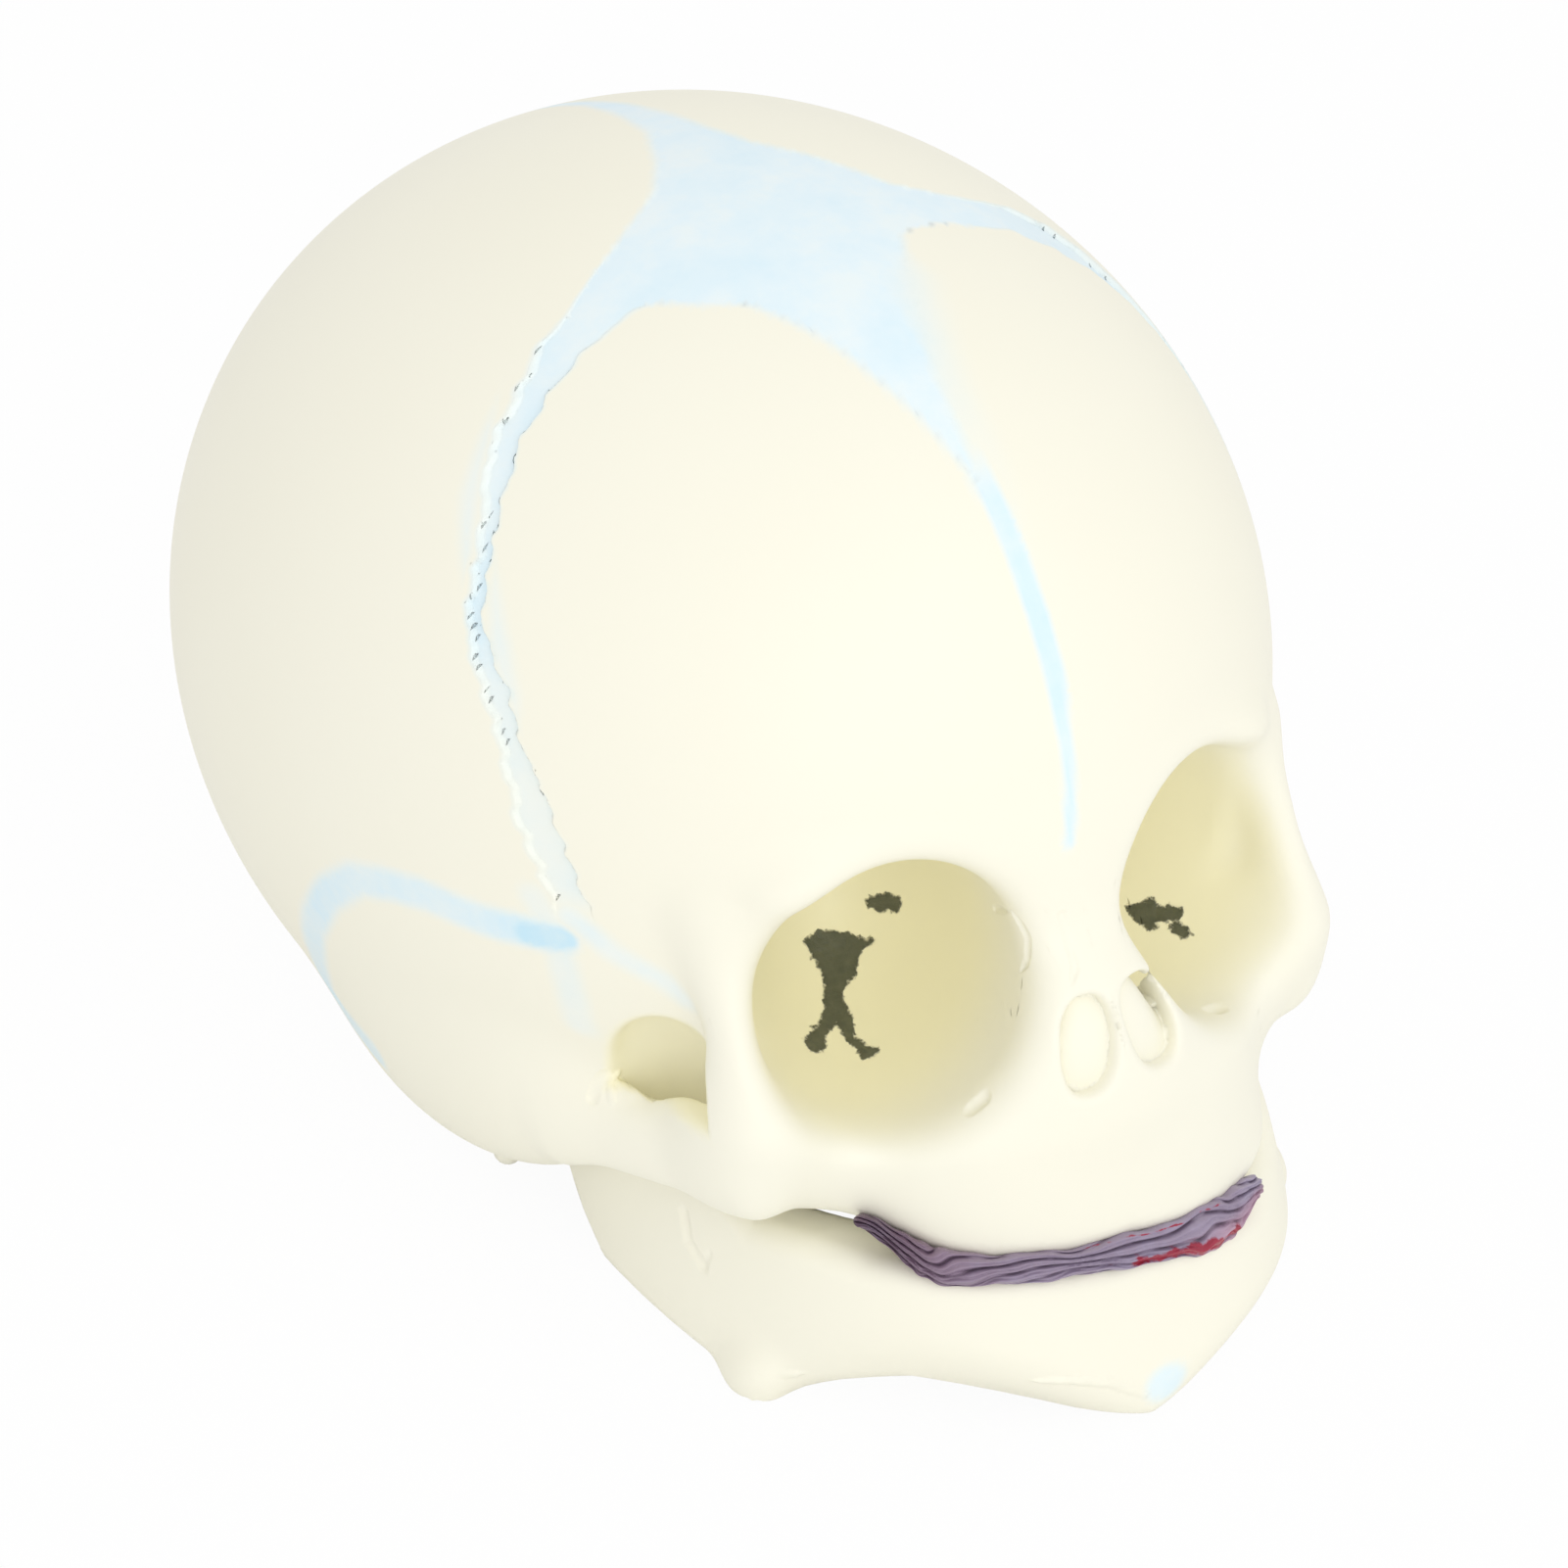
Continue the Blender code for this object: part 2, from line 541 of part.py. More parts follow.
def vault_bones(point, brow, squamous, exo, basi):
    """Frontal and parietal plates and the back of the head."""
    side = np.abs(point[0])
    y = point[1]
    z = point[2]
    half_gap = SEAM_GAP / 2.0
    band = SUTURE_BAND / 2.0
    crisp = MODULE * CRISP_SHARE
    depth = egg_depth(point) + MODULE * VAULT_DEPTH_SHARE
    inner_roof = np.maximum(depth, y - MODULE * SPHENOID_EDGE_SHARES[0])
    coronal_front = y - along(z, FRONTAL_RUN_SHARES, FRONTAL_EDGE_SHARES)
    coronal_back = along(z, PARIETAL_RUN_SHARES, PARIETAL_EDGE_SHARES) - y
    metopic = (along(y, METOPIC_RUN_SHARES, METOPIC_EDGE_SHARES) - side) * MIDLINE_STEEPNESS
    sagittal = (along(y, SAGITTAL_RUN_SHARES, SAGITTAL_EDGE_SHARES) - side) * MIDLINE_STEEPNESS
    lambdoid = (y - MODULE * LAMBDA_SHARES[0] - LAMBDOID_SPREAD * side
                - LAMBDOID_SLOPE * (z - MODULE * LAMBDA_SHARES[1])) * LAMBDOID_STEEPNESS
    frontal = meet(any_of(coronal_front, inner_roof), metopic, crisp)
    frontal = all_of(frontal, brow - z + half_gap, half_gap - side)
    parietal = meet(meet(coronal_back, sagittal, crisp), squamous - z + half_gap, crisp)
    parietal = all_of(parietal, lambdoid + band, -depth)
    squama = all_of(-lambdoid + band, half_gap - exo, half_gap - basi)
    return frontal, parietal, squama, lambdoid


def nose_bones(point, brow):
    """Small bones of the nose and of the inner eye socket."""
    maxilla_rear = point[1] - MODULE * MAXILLA_REAR_SHARE
    ethmoid = all_of(np.abs(point[0]) - MODULE * ETHMOID_SHARES[0],
                     MODULE * ETHMOID_SHARES[1] - point[1], maxilla_rear,
                     MODULE * ETHMOID_SHARES[2] - point[2], point[2] - brow)
    nasal = block(point, NASAL_CENTRE_SHARES, NASAL_SIZE_SHARES)
    septum = block(point, SEPTUM_CENTRE_SHARES, SEPTUM_SIZE_SHARES)
    lacrimal = block(point, LACRIMAL_CENTRE_SHARES, LACRIMAL_SIZE_SHARES)
    return ethmoid, nasal, septum, lacrimal


def territories(point):
    """Fields that share the outer form out between the bones."""
    side = np.abs(point[0])
    y = point[1]
    z = point[2]
    half_gap = SEAM_GAP / 2.0
    brow = along(side, BROW_SEAM_RUN_SHARES, BROW_SEAM_SHARES)
    squamous = along(y, SQUAMOUS_RUN_SHARES, SQUAMOUS_EDGE_SHARES)
    exo, basi = base_bones(side, y, z)
    frontal, parietal, squama, lambdoid = vault_bones(point, brow, squamous, exo, basi)
    ethmoid, nasal, septum, lacrimal = nose_bones(point, brow)
    arch = all_of(MODULE * ARCH_ZONE_SHARES[0] - side, z - MODULE * ARCH_ZONE_SHARES[2],
                  y - MODULE * SPHENOID_EDGE_SHARES[2])
    arch_seam = y - MODULE * ARCH_ZONE_SHARES[1]
    cheek_seam = side - (MODULE * CHEEK_SEAM_SHARE + CHEEK_SEAM_SLOPE
                         * np.maximum(MODULE * CHEEK_SEAM_LEVEL_SHARE - z, 0.0))
    sphenoid_rear = y - along(side, SPHENOID_RUN_SHARES, SPHENOID_EDGE_SHARES)
    petrous = along(y, PETROUS_RUN_SHARES, PETROUS_EDGE_SHARES) - side
    cheek_rear = y - MODULE * CHEEK_REAR_SHARE
    maxilla_rear = y - MODULE * MAXILLA_REAR_SHARE
    temporal = all_of(z - squamous + SUTURE_BAND, half_gap - sphenoid_rear, lambdoid + half_gap,
                      petrous + half_gap, half_gap - exo, half_gap - basi)
    temporal = any_of(temporal, all_of(arch, half_gap - arch_seam))
    behind = any_of(half_gap - maxilla_rear, all_of(half_gap - cheek_rear, half_gap - cheek_seam))
    sphenoid = all_of(sphenoid_rear + half_gap, z - brow + half_gap, behind,
                      half_gap - arch, half_gap - basi, half_gap - exo)
    cheek = all_of(cheek_rear + half_gap, half_gap - cheek_seam, z - brow + half_gap)
    cheek = any_of(cheek, all_of(arch, arch_seam + half_gap, half_gap - cheek_seam))
    maxilla = all_of(maxilla_rear + half_gap, cheek_seam + half_gap, z - brow + half_gap,
                     half_gap - side, half_gap - ethmoid, half_gap - nasal,
                     half_gap - septum, half_gap - lacrimal)
    return {
        "frontal_bone": all_of(frontal, half_gap - nasal, half_gap - lacrimal),
        "parietal_bone": parietal,
        "occipital_squama": squama,
        "temporal_bone": all_of(temporal, RING_GAP - ear_ring(point)),
        "sphenoid_bone": sphenoid,
        "zygomatic_bone": cheek,
        "maxilla": maxilla,
        "exoccipital_bone": all_of(exo + half_gap, half_gap - basi, half_gap - side),
        "basioccipital_bone": basi + half_gap,
        "ethmoid_bone": all_of(ethmoid + half_gap, half_gap - lacrimal),
        "nasal_bone": all_of(nasal + half_gap, half_gap - side),
        "nasal_septum": all_of(septum + half_gap, half_gap - nasal),
        "lacrimal_bone": lacrimal + half_gap,
    }


# Sampling and meshing

def grid_axes(low, high, step):
    """World sampling axes; the first is symmetric about the middle plane."""
    axes = []
    for start, end in zip(low, high):
        first = math.floor(start / step)
        last = math.ceil(end / step)
        axes.append((np.arange(first, last + 1) + 0.5) * step)
    return axes


def grid_point(axes):
    """Skull-frame coordinates of every sample."""
    x = axes[0][:, None, None]
    y = axes[1][None, :, None]
    z = axes[2][None, None, :]
    point = to_skull(x, y, z)
    return point[0] + 0.0 * (point[1] + point[2]), point[1] + 0.0 * x, point[2] + 0.0 * x


def surface(field, axes):
    """Closed triangle surface of a sampled field by marching tetrahedra."""
    inside = field < 0.0
    shape = np.array(field.shape)
    corner_sum = np.zeros(shape - 1, dtype=np.int8)
    for corner in np.ndindex(2, 2, 2):
        window = tuple(slice(c, n - 1 + c) for c, n in zip(corner, shape))
        corner_sum = corner_sum + inside[window]
    cells = np.argwhere((corner_sum > 0) & (corner_sum < 8))
    stride = np.array((shape[1] * shape[2], shape[2], 1))
    flat = field.ravel()
    pairs = []
    for tetra in TETRAHEDRA:
        nodes = np.stack([(cells + np.array(corner)) @ stride for corner in tetra], axis=1)
        signs = flat[nodes] < 0.0
        count = signs.sum(axis=1)
        order = np.argsort(~signs, axis=1, kind="stable")
        nodes = np.take_along_axis(nodes, order, axis=1)
        for picked, split in ((1, (0, 1, 0, 2, 0, 3)), (3, (3, 0, 3, 1, 3, 2))):
            chosen = nodes[count == picked]
            pairs.append(chosen[:, split].reshape(-1, 3, 2))
        chosen = nodes[count == 2]
        pairs.append(chosen[:, (0, 2, 0, 3, 1, 3)].reshape(-1, 3, 2))
        pairs.append(chosen[:, (0, 2, 1, 3, 1, 2)].reshape(-1, 3, 2))
    corners = np.sort(np.concatenate(pairs), axis=2)
    total = np.int64(flat.size)
    keys, triangles = np.unique(corners[..., 0] * total + corners[..., 1], return_inverse=True)
    triangles = triangles.reshape(-1, 3)
    first = keys // total
    second = keys % total
    share = np.clip(flat[first] / (flat[first] - flat[second]), *CROSSING_SHARES)[:, None]
    positions = []
    for node in (first, second):
        index = np.stack(np.unravel_index(node, field.shape), axis=1)
        positions.append(np.stack([axes[k][index[:, k]] for k in range(3)], axis=1))
    vertices = positions[0] * (1.0 - share) + positions[1] * share
    outward = np.where(flat[first] < 0.0, 1.0, -1.0)[:, None] * (positions[1] - positions[0])
    corner = vertices[triangles]
    normal = np.cross(corner[:, 1] - corner[:, 0], corner[:, 2] - corner[:, 0])
    flip = np.einsum("ij,ij->i", normal, outward[triangles].sum(axis=1)) < 0.0
    triangles[flip] = triangles[flip][:, ::-1]
    return vertices, triangles


def largest_body(vertices, triangles):
    """Only the largest connected surface."""
    label = np.arange(len(vertices))
    while True:
        lowest = label[triangles].min(axis=1)
        new = label.copy()
        for k in range(3):
            np.minimum.at(new, triangles[:, k], lowest)
        new = new[new]
        if np.array_equal(new, label):
            break
        label = new
    owner = label[triangles[:, 0]]
    names, counts = np.unique(owner, return_counts=True)
    triangles = triangles[owner == names[np.argmax(counts)]]
    used, triangles = np.unique(triangles, return_inverse=True)
    return vertices[used], triangles.reshape(-1, 3)


def thinned(vertices, triangles, faces):
    """The surface reduced to about the given number of triangles."""
    mesh = bpy.data.meshes.new("draft")
    mesh.from_pydata(vertices.tolist(), [], triangles.tolist())
    draft = bpy.data.objects.new("draft", mesh)
    bpy.context.collection.objects.link(draft)
    reduce = draft.modifiers.new("reduce", "DECIMATE")
    reduce.ratio = min(1.0, faces / len(triangles))
    reduce.use_collapse_triangulate = True
    evaluated = draft.evaluated_get(bpy.context.evaluated_depsgraph_get())
    result = evaluated.to_mesh()
    points = np.zeros(len(result.vertices) * 3)
    result.vertices.foreach_get("co", points)
    polygons = [tuple(polygon.vertices) for polygon in result.polygons]
    evaluated.to_mesh_clear()
    bpy.data.objects.remove(draft)
    bpy.data.meshes.remove(mesh)
    return points.reshape(-1, 3), np.array(polygons)


# Objects

def material(name, colour, roughness, metallic=0.0):
    """Principled material of one piece."""
    result = bpy.data.materials.new(name)
    result.use_nodes = True
    shader = result.node_tree.nodes["Principled BSDF"]
    shader.inputs["Base Color"].default_value = (*colour, 1.0)
    shader.inputs["Roughness"].default_value = roughness
    shader.inputs["Metallic"].default_value = metallic
    return result


def make_object(name, vertices, triangles, colour, roughness, metallic=0.0):
    """Named object with its own smooth mesh and material."""
    mesh = bpy.data.meshes.new(name)
    mesh.from_pydata(vertices.tolist(), [], triangles.tolist())
    mesh.materials.append(material(name + "_finish", colour, roughness, metallic))
    for polygon in mesh.polygons:
        polygon.use_smooth = True
    result = bpy.data.objects.new(name, mesh)
    bpy.context.collection.objects.link(result)
    return result


def mirrored(vertices, triangles):
    """The same surface on the other side of the skull."""
    return vertices * np.array((-1.0, 1.0, 1.0)), triangles[:, ::-1]


def flattened_foot(vertices):
    """Points within a hair of the resting plane set exactly on it."""
    vertices = vertices.copy()
    low = vertices[:, 2] < SEAM_GAP / 2.0
    vertices[low, 2] = 0.0
    return vertices


def clipped_grid(field, axes):
    """Samples cropped to the piece, with a clear border."""
    found = np.argwhere(field < 0.0)
    low = np.maximum(found.min(axis=0) - 2, 0)
    high = np.minimum(found.max(axis=0) + 3, field.shape)
    window = tuple(slice(a, b) for a, b in zip(low, high))
    cropped = [axis[part] for axis, part in zip(axes, window)]
    return field[window], cropped


def piece(field, axes, faces):
    """Finished surface of one piece."""
    cropped, cropped_axes = clipped_grid(field, axes)
    vertices, triangles = surface(cropped, cropped_axes)
    vertices, triangles = largest_body(vertices, triangles)
    vertices, triangles = thinned(vertices, triangles, faces)
    return flattened_foot(vertices), triangles


def add_middle(objects, name, field, axes, faces, colour, roughness):
    """A piece that lies across the middle plane."""
    vertices, triangles = piece(field, axes, faces)
    objects[name] = make_object(name, vertices, triangles, colour, roughness)


def add_pair(objects, name, field, point, axes, faces):
    """A left bone and its mirror image."""
    one_side = np.where(point[0] > 0.0, field, np.maximum(field, SEAM_GAP))
    vertices, triangles = piece(one_side, axes, faces)
    objects[name + "_left"] = make_object(name + "_left", vertices, triangles, BONE_COLOUR,
                                          BONE_ROUGHNESS)
    vertices, triangles = mirrored(vertices, triangles)
    objects[name + "_right"] = make_object(name + "_right", vertices, triangles, BONE_COLOUR,
                                           BONE_ROUGHNESS)


PAIRED_BONES = (
    ("frontal_bone", FACES_FRONTAL),
    ("parietal_bone", FACES_PARIETAL),
    ("temporal_bone", FACES_TEMPORAL),
    ("zygomatic_bone", FACES_CHEEK),
    ("maxilla", FACES_MAXILLA),
    ("exoccipital_bone", FACES_EXOCCIPITAL),
    ("nasal_bone", FACES_SMALL),
    ("lacrimal_bone", FACES_SMALL),
)
MIDDLE_BONES = (
    ("occipital_squama", FACES_OCCIPITAL),
    ("sphenoid_bone", FACES_SPHENOID),
    ("basioccipital_bone", FACES_SMALL),
    ("ethmoid_bone", FACES_SMALL),
    ("nasal_septum", FACES_SMALL),
)


def build_bones(objects):
    """All bones of the skull and the membrane under them."""
    low = (-HEAD_BREADTH / 2.0 - GRID_MARGIN, MODULE * GRID_FRONT_SHARE, -GRID_MARGIN)
    high = (HEAD_BREADTH / 2.0 + GRID_MARGIN, HEAD_LENGTH / 2.0 + GRID_MARGIN,
            FLOOR_DROP + HEAD_LENGTH / 2.0)
    axes = grid_axes(low, high, GRID_STEP)
    point = grid_point(axes)
    sweep = jaw_sweep(point)
    pit = mass(point, RING_CENTRE_SHARES, EAR_PIT_SHARES)
    skull = all_of(skull_form(point), -sweep, -pit)
    hollow = meet(cavity(point), ORBIT_WALL - any_of(sweep, pit), MODULE * FIRM_SHARE)
    opening = foramen(point)
    shell = all_of(skull, -hollow, -opening)
    share_out = territories(point)
    for name, faces in PAIRED_BONES:
        add_pair(objects, name, np.maximum(shell, share_out[name]), point, axes, faces)
    for name, faces in MIDDLE_BONES:
        add_middle(objects, name, np.maximum(shell, share_out[name]), axes, faces, BONE_COLOUR,
                   BONE_ROUGHNESS)
    ring = ear_ring(point)
    add_pair(objects, "ear_ring", all_of(ring, -hollow, -sweep), point, axes, FACES_SMALL)
    lining = hollow + MEMBRANE_GAP
    bands = all_of(skull + MEMBRANE_RECESS, BAND_GAP - any_of(*share_out.values()))
    membrane = all_of(any_of(lining, bands), -hollow - MEMBRANE_GAP - MEMBRANE_THICKNESS,
                      MEMBRANE_GAP - opening, MEMBRANE_GAP - ring)
    add_middle(objects, "suture_membrane", membrane, axes, FACES_MEMBRANE, MEMBRANE_COLOUR,
               MEMBRANE_ROUGHNESS)


def build_jaw(objects):
    """Lower jaw, its chin cartilage and the gum strip."""
    side = MODULE * JAW_GRID_SIDE_SHARE
    front = to_world(0.0, *sized(JAW_GRID_FRONT_SHARES))[1]
    axes = grid_axes((-side, front, -GRID_MARGIN), (side, 0.0, MODULE * JAW_GRID_HEIGHT_SHARE),
                     JAW_GRID_STEP)
    point = grid_point(axes)
    jaw = jaw_form(point)
    wedge = symphysis_form(point)
    gum = all_of(gum_form(point), SEAM_GAP - jaw, SEAM_GAP - skull_form(point))
    add_middle(objects, "mandible", np.maximum(jaw, SEAM_GAP - wedge), axes, FACES_JAW,
               JAW_COLOUR, BONE_ROUGHNESS)
    add_middle(objects, "chin_symphysis", np.maximum(jaw, wedge), axes, FACES_SMALL,
               MEMBRANE_COLOUR, MEMBRANE_ROUGHNESS)
    add_middle(objects, "gum_strip", gum, axes, FACES_GUM, GUM_COLOUR, GUM_ROUGHNESS)


def cylinder(name, radius, length):
    """Round bar along the first axis, centred on its origin."""
    mesh = bpy.data.meshes.new(name)
    shape = bmesh.new()
    bmesh.ops.create_cone(shape, cap_ends=True, segments=PIN_SIDES, radius1=radius,
                          radius2=radius, depth=length)
    for vertex in shape.verts:
        vertex.co = (vertex.co.z, vertex.co.y, -vertex.co.x)
    for face in shape.faces:
        face.smooth = len(face.verts) == 4
    shape.to_mesh(mesh)
    shape.free()
    result = bpy.data.objects.new(name, mesh)
    bpy.context.collection.objects.link(result)
    return result


def build_pins(objects):
    """Hinge pins and their bores in the jaw and the temporal bones."""
    hinge = to_world(*hinge_point())
    for side, sign in (("left", 1.0), ("right", -1.0)):
        middle = sign * (hinge[0] + PIN_OFFSET_SHARE * PIN_LENGTH)
        pin = cylinder("jaw_pin_" + side, PIN_RADIUS, PIN_LENGTH)
        pin.location = (middle, hinge[1], hinge[2])
        pin.data.materials.append(material("jaw_pin_" + side + "_finish", STEEL_COLOUR,
                                           STEEL_ROUGHNESS, 1.0))
        objects["jaw_pin_" + side] = pin
        bore = cylinder("bore_" + side, PIN_RADIUS + PIN_CLEARANCE,
                        PIN_LENGTH + 2.0 * PIN_CLEARANCE)
        bore.location = pin.location
        bore.hide_render = True
        bore.display_type = "WIRE"
        for name in ("mandible", "temporal_bone_" + side):
            bored = objects[name].modifiers.new("pin_bore", "BOOLEAN")
            bored.operation = "DIFFERENCE"
            bored.solver = "EXACT"
            bored.object = bore
    return hinge


def settle(objects):
    """Centre the skull over the origin and return how far it moved."""
    reach = [vertex.co.y for item in objects.values() if "pin" not in item.name
             for vertex in item.data.vertices]
    return -(min(reach) + max(reach)) / 2.0


def build():
    """Build every piece and hang the jaw on its hinge."""
    for item in list(bpy.data.objects):
        bpy.data.objects.remove(item)
    objects = {}
    build_bones(objects)
    build_jaw(objects)
    hinge = build_pins(objects)
    shift = settle(objects)
    for item in list(bpy.data.objects):
        item.location.y += shift
    pivot = bpy.data.objects.new("jaw_hinge", None)
    bpy.context.collection.objects.link(pivot)
    pivot.location = (0.0, hinge[1] + shift, hinge[2])
    for name in ("mandible", "chin_symphysis", "gum_strip"):
        item = objects[name]
        item.parent = pivot
        item.location = (0.0, item.location.y - pivot.location.y, -pivot.location.z)


build()
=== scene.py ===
"""Looks of the newborn skull teaching model: cast plastic bones, painted sutures, gum strip.

One field describes the whole outer form. It is sampled on a grid, labelled bone by bone, and
turned into meshes that share their seams, so the casting reads as one while each bone stays
a piece of its own.
"""
import json
import math

import bpy
import numpy as np
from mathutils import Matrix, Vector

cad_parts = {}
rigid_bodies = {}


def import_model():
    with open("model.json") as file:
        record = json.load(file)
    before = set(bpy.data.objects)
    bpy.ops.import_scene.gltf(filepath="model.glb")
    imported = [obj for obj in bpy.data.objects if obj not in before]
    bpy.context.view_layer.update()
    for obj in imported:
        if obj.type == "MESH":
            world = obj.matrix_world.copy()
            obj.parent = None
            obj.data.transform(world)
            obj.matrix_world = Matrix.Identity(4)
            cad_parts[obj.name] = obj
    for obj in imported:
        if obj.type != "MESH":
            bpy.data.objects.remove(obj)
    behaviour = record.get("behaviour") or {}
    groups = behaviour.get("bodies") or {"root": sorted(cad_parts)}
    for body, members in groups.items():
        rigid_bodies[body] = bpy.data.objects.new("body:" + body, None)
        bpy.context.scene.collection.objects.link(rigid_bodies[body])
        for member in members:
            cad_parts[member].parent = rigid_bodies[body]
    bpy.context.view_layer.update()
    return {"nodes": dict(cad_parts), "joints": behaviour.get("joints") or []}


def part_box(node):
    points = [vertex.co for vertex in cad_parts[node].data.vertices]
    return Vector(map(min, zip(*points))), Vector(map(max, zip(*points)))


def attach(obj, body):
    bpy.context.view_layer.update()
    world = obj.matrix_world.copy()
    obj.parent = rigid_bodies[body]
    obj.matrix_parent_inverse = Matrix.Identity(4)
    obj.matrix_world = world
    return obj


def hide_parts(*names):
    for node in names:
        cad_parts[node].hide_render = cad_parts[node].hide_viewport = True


# Whole skull, in metres
HEAD_LENGTH = 0.118
HEAD_BREADTH = 0.0924
HEAD_HEIGHT = 0.096
HEAD_TILT = math.radians(17.4)
MODULE = HEAD_LENGTH / 1.18
FLOOR_DROP = 0.0385
BASE_DROP = 0.038


def sized(shares):
    """Shares of the module as lengths, in tuples of any depth."""
    return tuple(sized(one) if isinstance(one, tuple) else MODULE * one for one in shares)


# Walls and clearances
PLATE_THICKNESS = 0.0019
BASE_THICKNESS = 0.0045
ORBIT_WALL = 0.002
TEMPLE_WALL = 0.004
BAND_STEP = 0.00042
BAND_EDGE = 0.00022
FONTANELLE_STEP = 0.00006
SUTURE_BAND = 0.0020
JAW_CLEARANCE = 0.0007
JAW_OPENING = math.radians(20.0)

# Sampling
STEP = 0.00065
JAW_STEP = 0.0006
BLOCK = 4
MARGIN = 0.0030
SWEEP_STEPS = 5
NEAR_ZERO = 0.0001
PROBE = 0.00004
SOFT_PULL = 0.05
CHUNK = 400000
TINY = 1e-12
EASE_ROUNDS = 3
EASE_SHARE = 0.5
NEAR_BLOCK = 1.3

# Centres and half sizes of the rounded masses (x, y, z), written as shares of the module
ORBIT_CENTRE = sized((0.150, -0.520, -0.156))
ORBIT_SIZE = sized((0.106, 0.240, 0.122))
ORBIT_YAW = math.radians(18.0)
ORBIT_ROLL = math.radians(-25.0)
FACE_CENTRE = sized((0.0, -0.410, -0.265))
FACE_SIZE = sized((0.200, 0.190, 0.150))
ARCADE_CENTRE = MODULE * -0.380
ARCADE_SIZE = sized((0.214, 0.213))
ARCADE_SQUARENESS = 2.2
ARCADE_RUN = sized((-0.60, -0.52, -0.46, -0.38, -0.20))
ARCADE_UNDER = sized((-0.406, -0.396, -0.376, -0.360, -0.350))
ARCADE_TOP = MODULE * -0.280
ARCADE_ROUND = MODULE * 0.022
ARCADE_WIDENING = 0.10
ARCADE_SKEW = sized((
    (-0.200, -0.170, -0.147, -0.118, -0.056, 0.000, 0.025, 0.069, 0.102, 0.140, 0.250),
    (0.028, 0.021, 0.006, -0.001, -0.006, -0.008, -0.014, -0.022, -0.028, -0.032, -0.032)))
BRIDGE_CENTRE = sized((0.0, -0.490, -0.110))
BRIDGE_SIZE = sized((0.080, 0.090, 0.120))
CHEEK_CENTRE = sized((0.236, -0.433, -0.268))
CHEEK_SIZE = sized((0.074, 0.070, 0.070))
BROW_CENTRE = sized((0.0, -0.505, -0.045))
BROW_SIZE = sized((0.245, 0.062, 0.050))
STRUT_FOOT = sized((0.266, -0.480, -0.240))
STRUT_HEAD = sized((0.262, -0.452, -0.070))
STRUT_RADIUS = MODULE * 0.026
ARCH_FRONT = sized((0.272, -0.460, -0.292))
ARCH_REAR = sized((0.335, -0.260, -0.286))
ARCH_RADIUS = MODULE * 0.021
ARCH_FLATTENING = 0.60
EAR_ROOT_CENTRE = sized((0.318, -0.085, -0.268))
EAR_ROOT_SIZE = sized((0.080, 0.205, 0.104))
MASTOID_CENTRE = sized((0.280, -0.065, -0.335))
MASTOID_SIZE = sized((0.055, 0.055, 0.055))
TEMPLE_CENTRE = sized((0.300, -0.393, -0.268))
TEMPLE_SIZE = sized((0.052, 0.075, 0.104))
GUARD_RUN = sized((-0.480, -0.400, -0.320, -0.260))
GUARD_SIDE = sized((0.265, 0.280, 0.305, 0.320))
GUARD_TOP = MODULE * -0.238
GUARD_ROUND = MODULE * 0.012
NOSE_CENTRE = sized((0.0, -0.520, -0.225))
NOSE_SIZE = sized((0.085, 0.092, 0.085))
NOSTRIL_LEVEL = MODULE * -0.219
LEFT_NOSTRIL = sized((0.0355, 0.0260))
RIGHT_NOSTRIL = sized((0.0265, 0.0220))
NOSTRIL_HEIGHT = MODULE * 0.0395
NOSTRIL_FLOOR = MODULE * 0.014
NOSTRIL_REAR = MODULE * -0.540
NOSTRIL_LEAN = 0.16
NOSTRIL_SQUARENESS = 2.4
PALATE_CENTRE = sized((0.0, -0.340, -0.440))
PALATE_SIZE = sized((0.130, 0.170, 0.100))
CORE_CENTRE = sized((0.0, -0.460, -0.260))
CORE_SIZE = sized((0.300, 0.240, 0.180))
PTERYGOID_TOP = sized((0.080, -0.270, -0.320))
PTERYGOID_FOOT = sized((0.095, -0.275, -0.400))
PTERYGOID_RADIUS = MODULE * 0.022
CONDYLE_BUMP_CENTRE = sized((0.115, 0.040, -0.375))
CONDYLE_BUMP_SIZE = sized((0.030, 0.070, 0.020))
FORAMEN_CENTRE = MODULE * 0.090
FORAMEN_SIZE = sized((0.095, 0.125))
FORAMEN_SQUARENESS = 2.0
FORAMEN_TOP = MODULE * -0.200

# Jaw, written as shares of the module
JAW_CENTRE = MODULE * -0.120
JAW_SIZE = sized((0.303, 0.475))
JAW_SQUARENESS = 2.5
JAW_INWARD_LEAN = 0.12
JAW_LEAN_LEVEL = MODULE * -0.460
CHIN_PLANE = MODULE * 0.477
CHIN_LEAN = 1.02
CHIN_NORMAL = (0.58, -0.815)
JAW_REAR = MODULE * -0.095
JAW_ROUND = MODULE * 0.020
JAW_RUN = sized((-0.64, -0.56, -0.50, -0.45, -0.40, -0.33, -0.28, -0.20, -0.16, -0.08))
JAW_TOP = sized((-0.430, -0.425, -0.410, -0.388, -0.370, -0.310, -0.295, -0.330, -0.320, -0.300))
JAW_UNDER_RUN = sized((-0.64, -0.56, -0.50, -0.44, -0.41, -0.38, -0.34, -0.26, -0.20, -0.17, -0.14,
                        -0.08))
JAW_UNDER = sized((-0.640, -0.590, -0.534, -0.532, -0.536, -0.530, -0.512, -0.487, -0.466, -0.435,
                    -0.390, -0.340))
JAW_SKEW = 0.15
JAW_SKEW_RUN = sized((0.36, 0.56))
GONION_CENTRE = sized((0.262, -0.388, -0.514))
GONION_SIZE = sized((0.022, 0.030, 0.026))
JAW_WALL_RUN = sized((-0.60, -0.45, -0.30, -0.10))
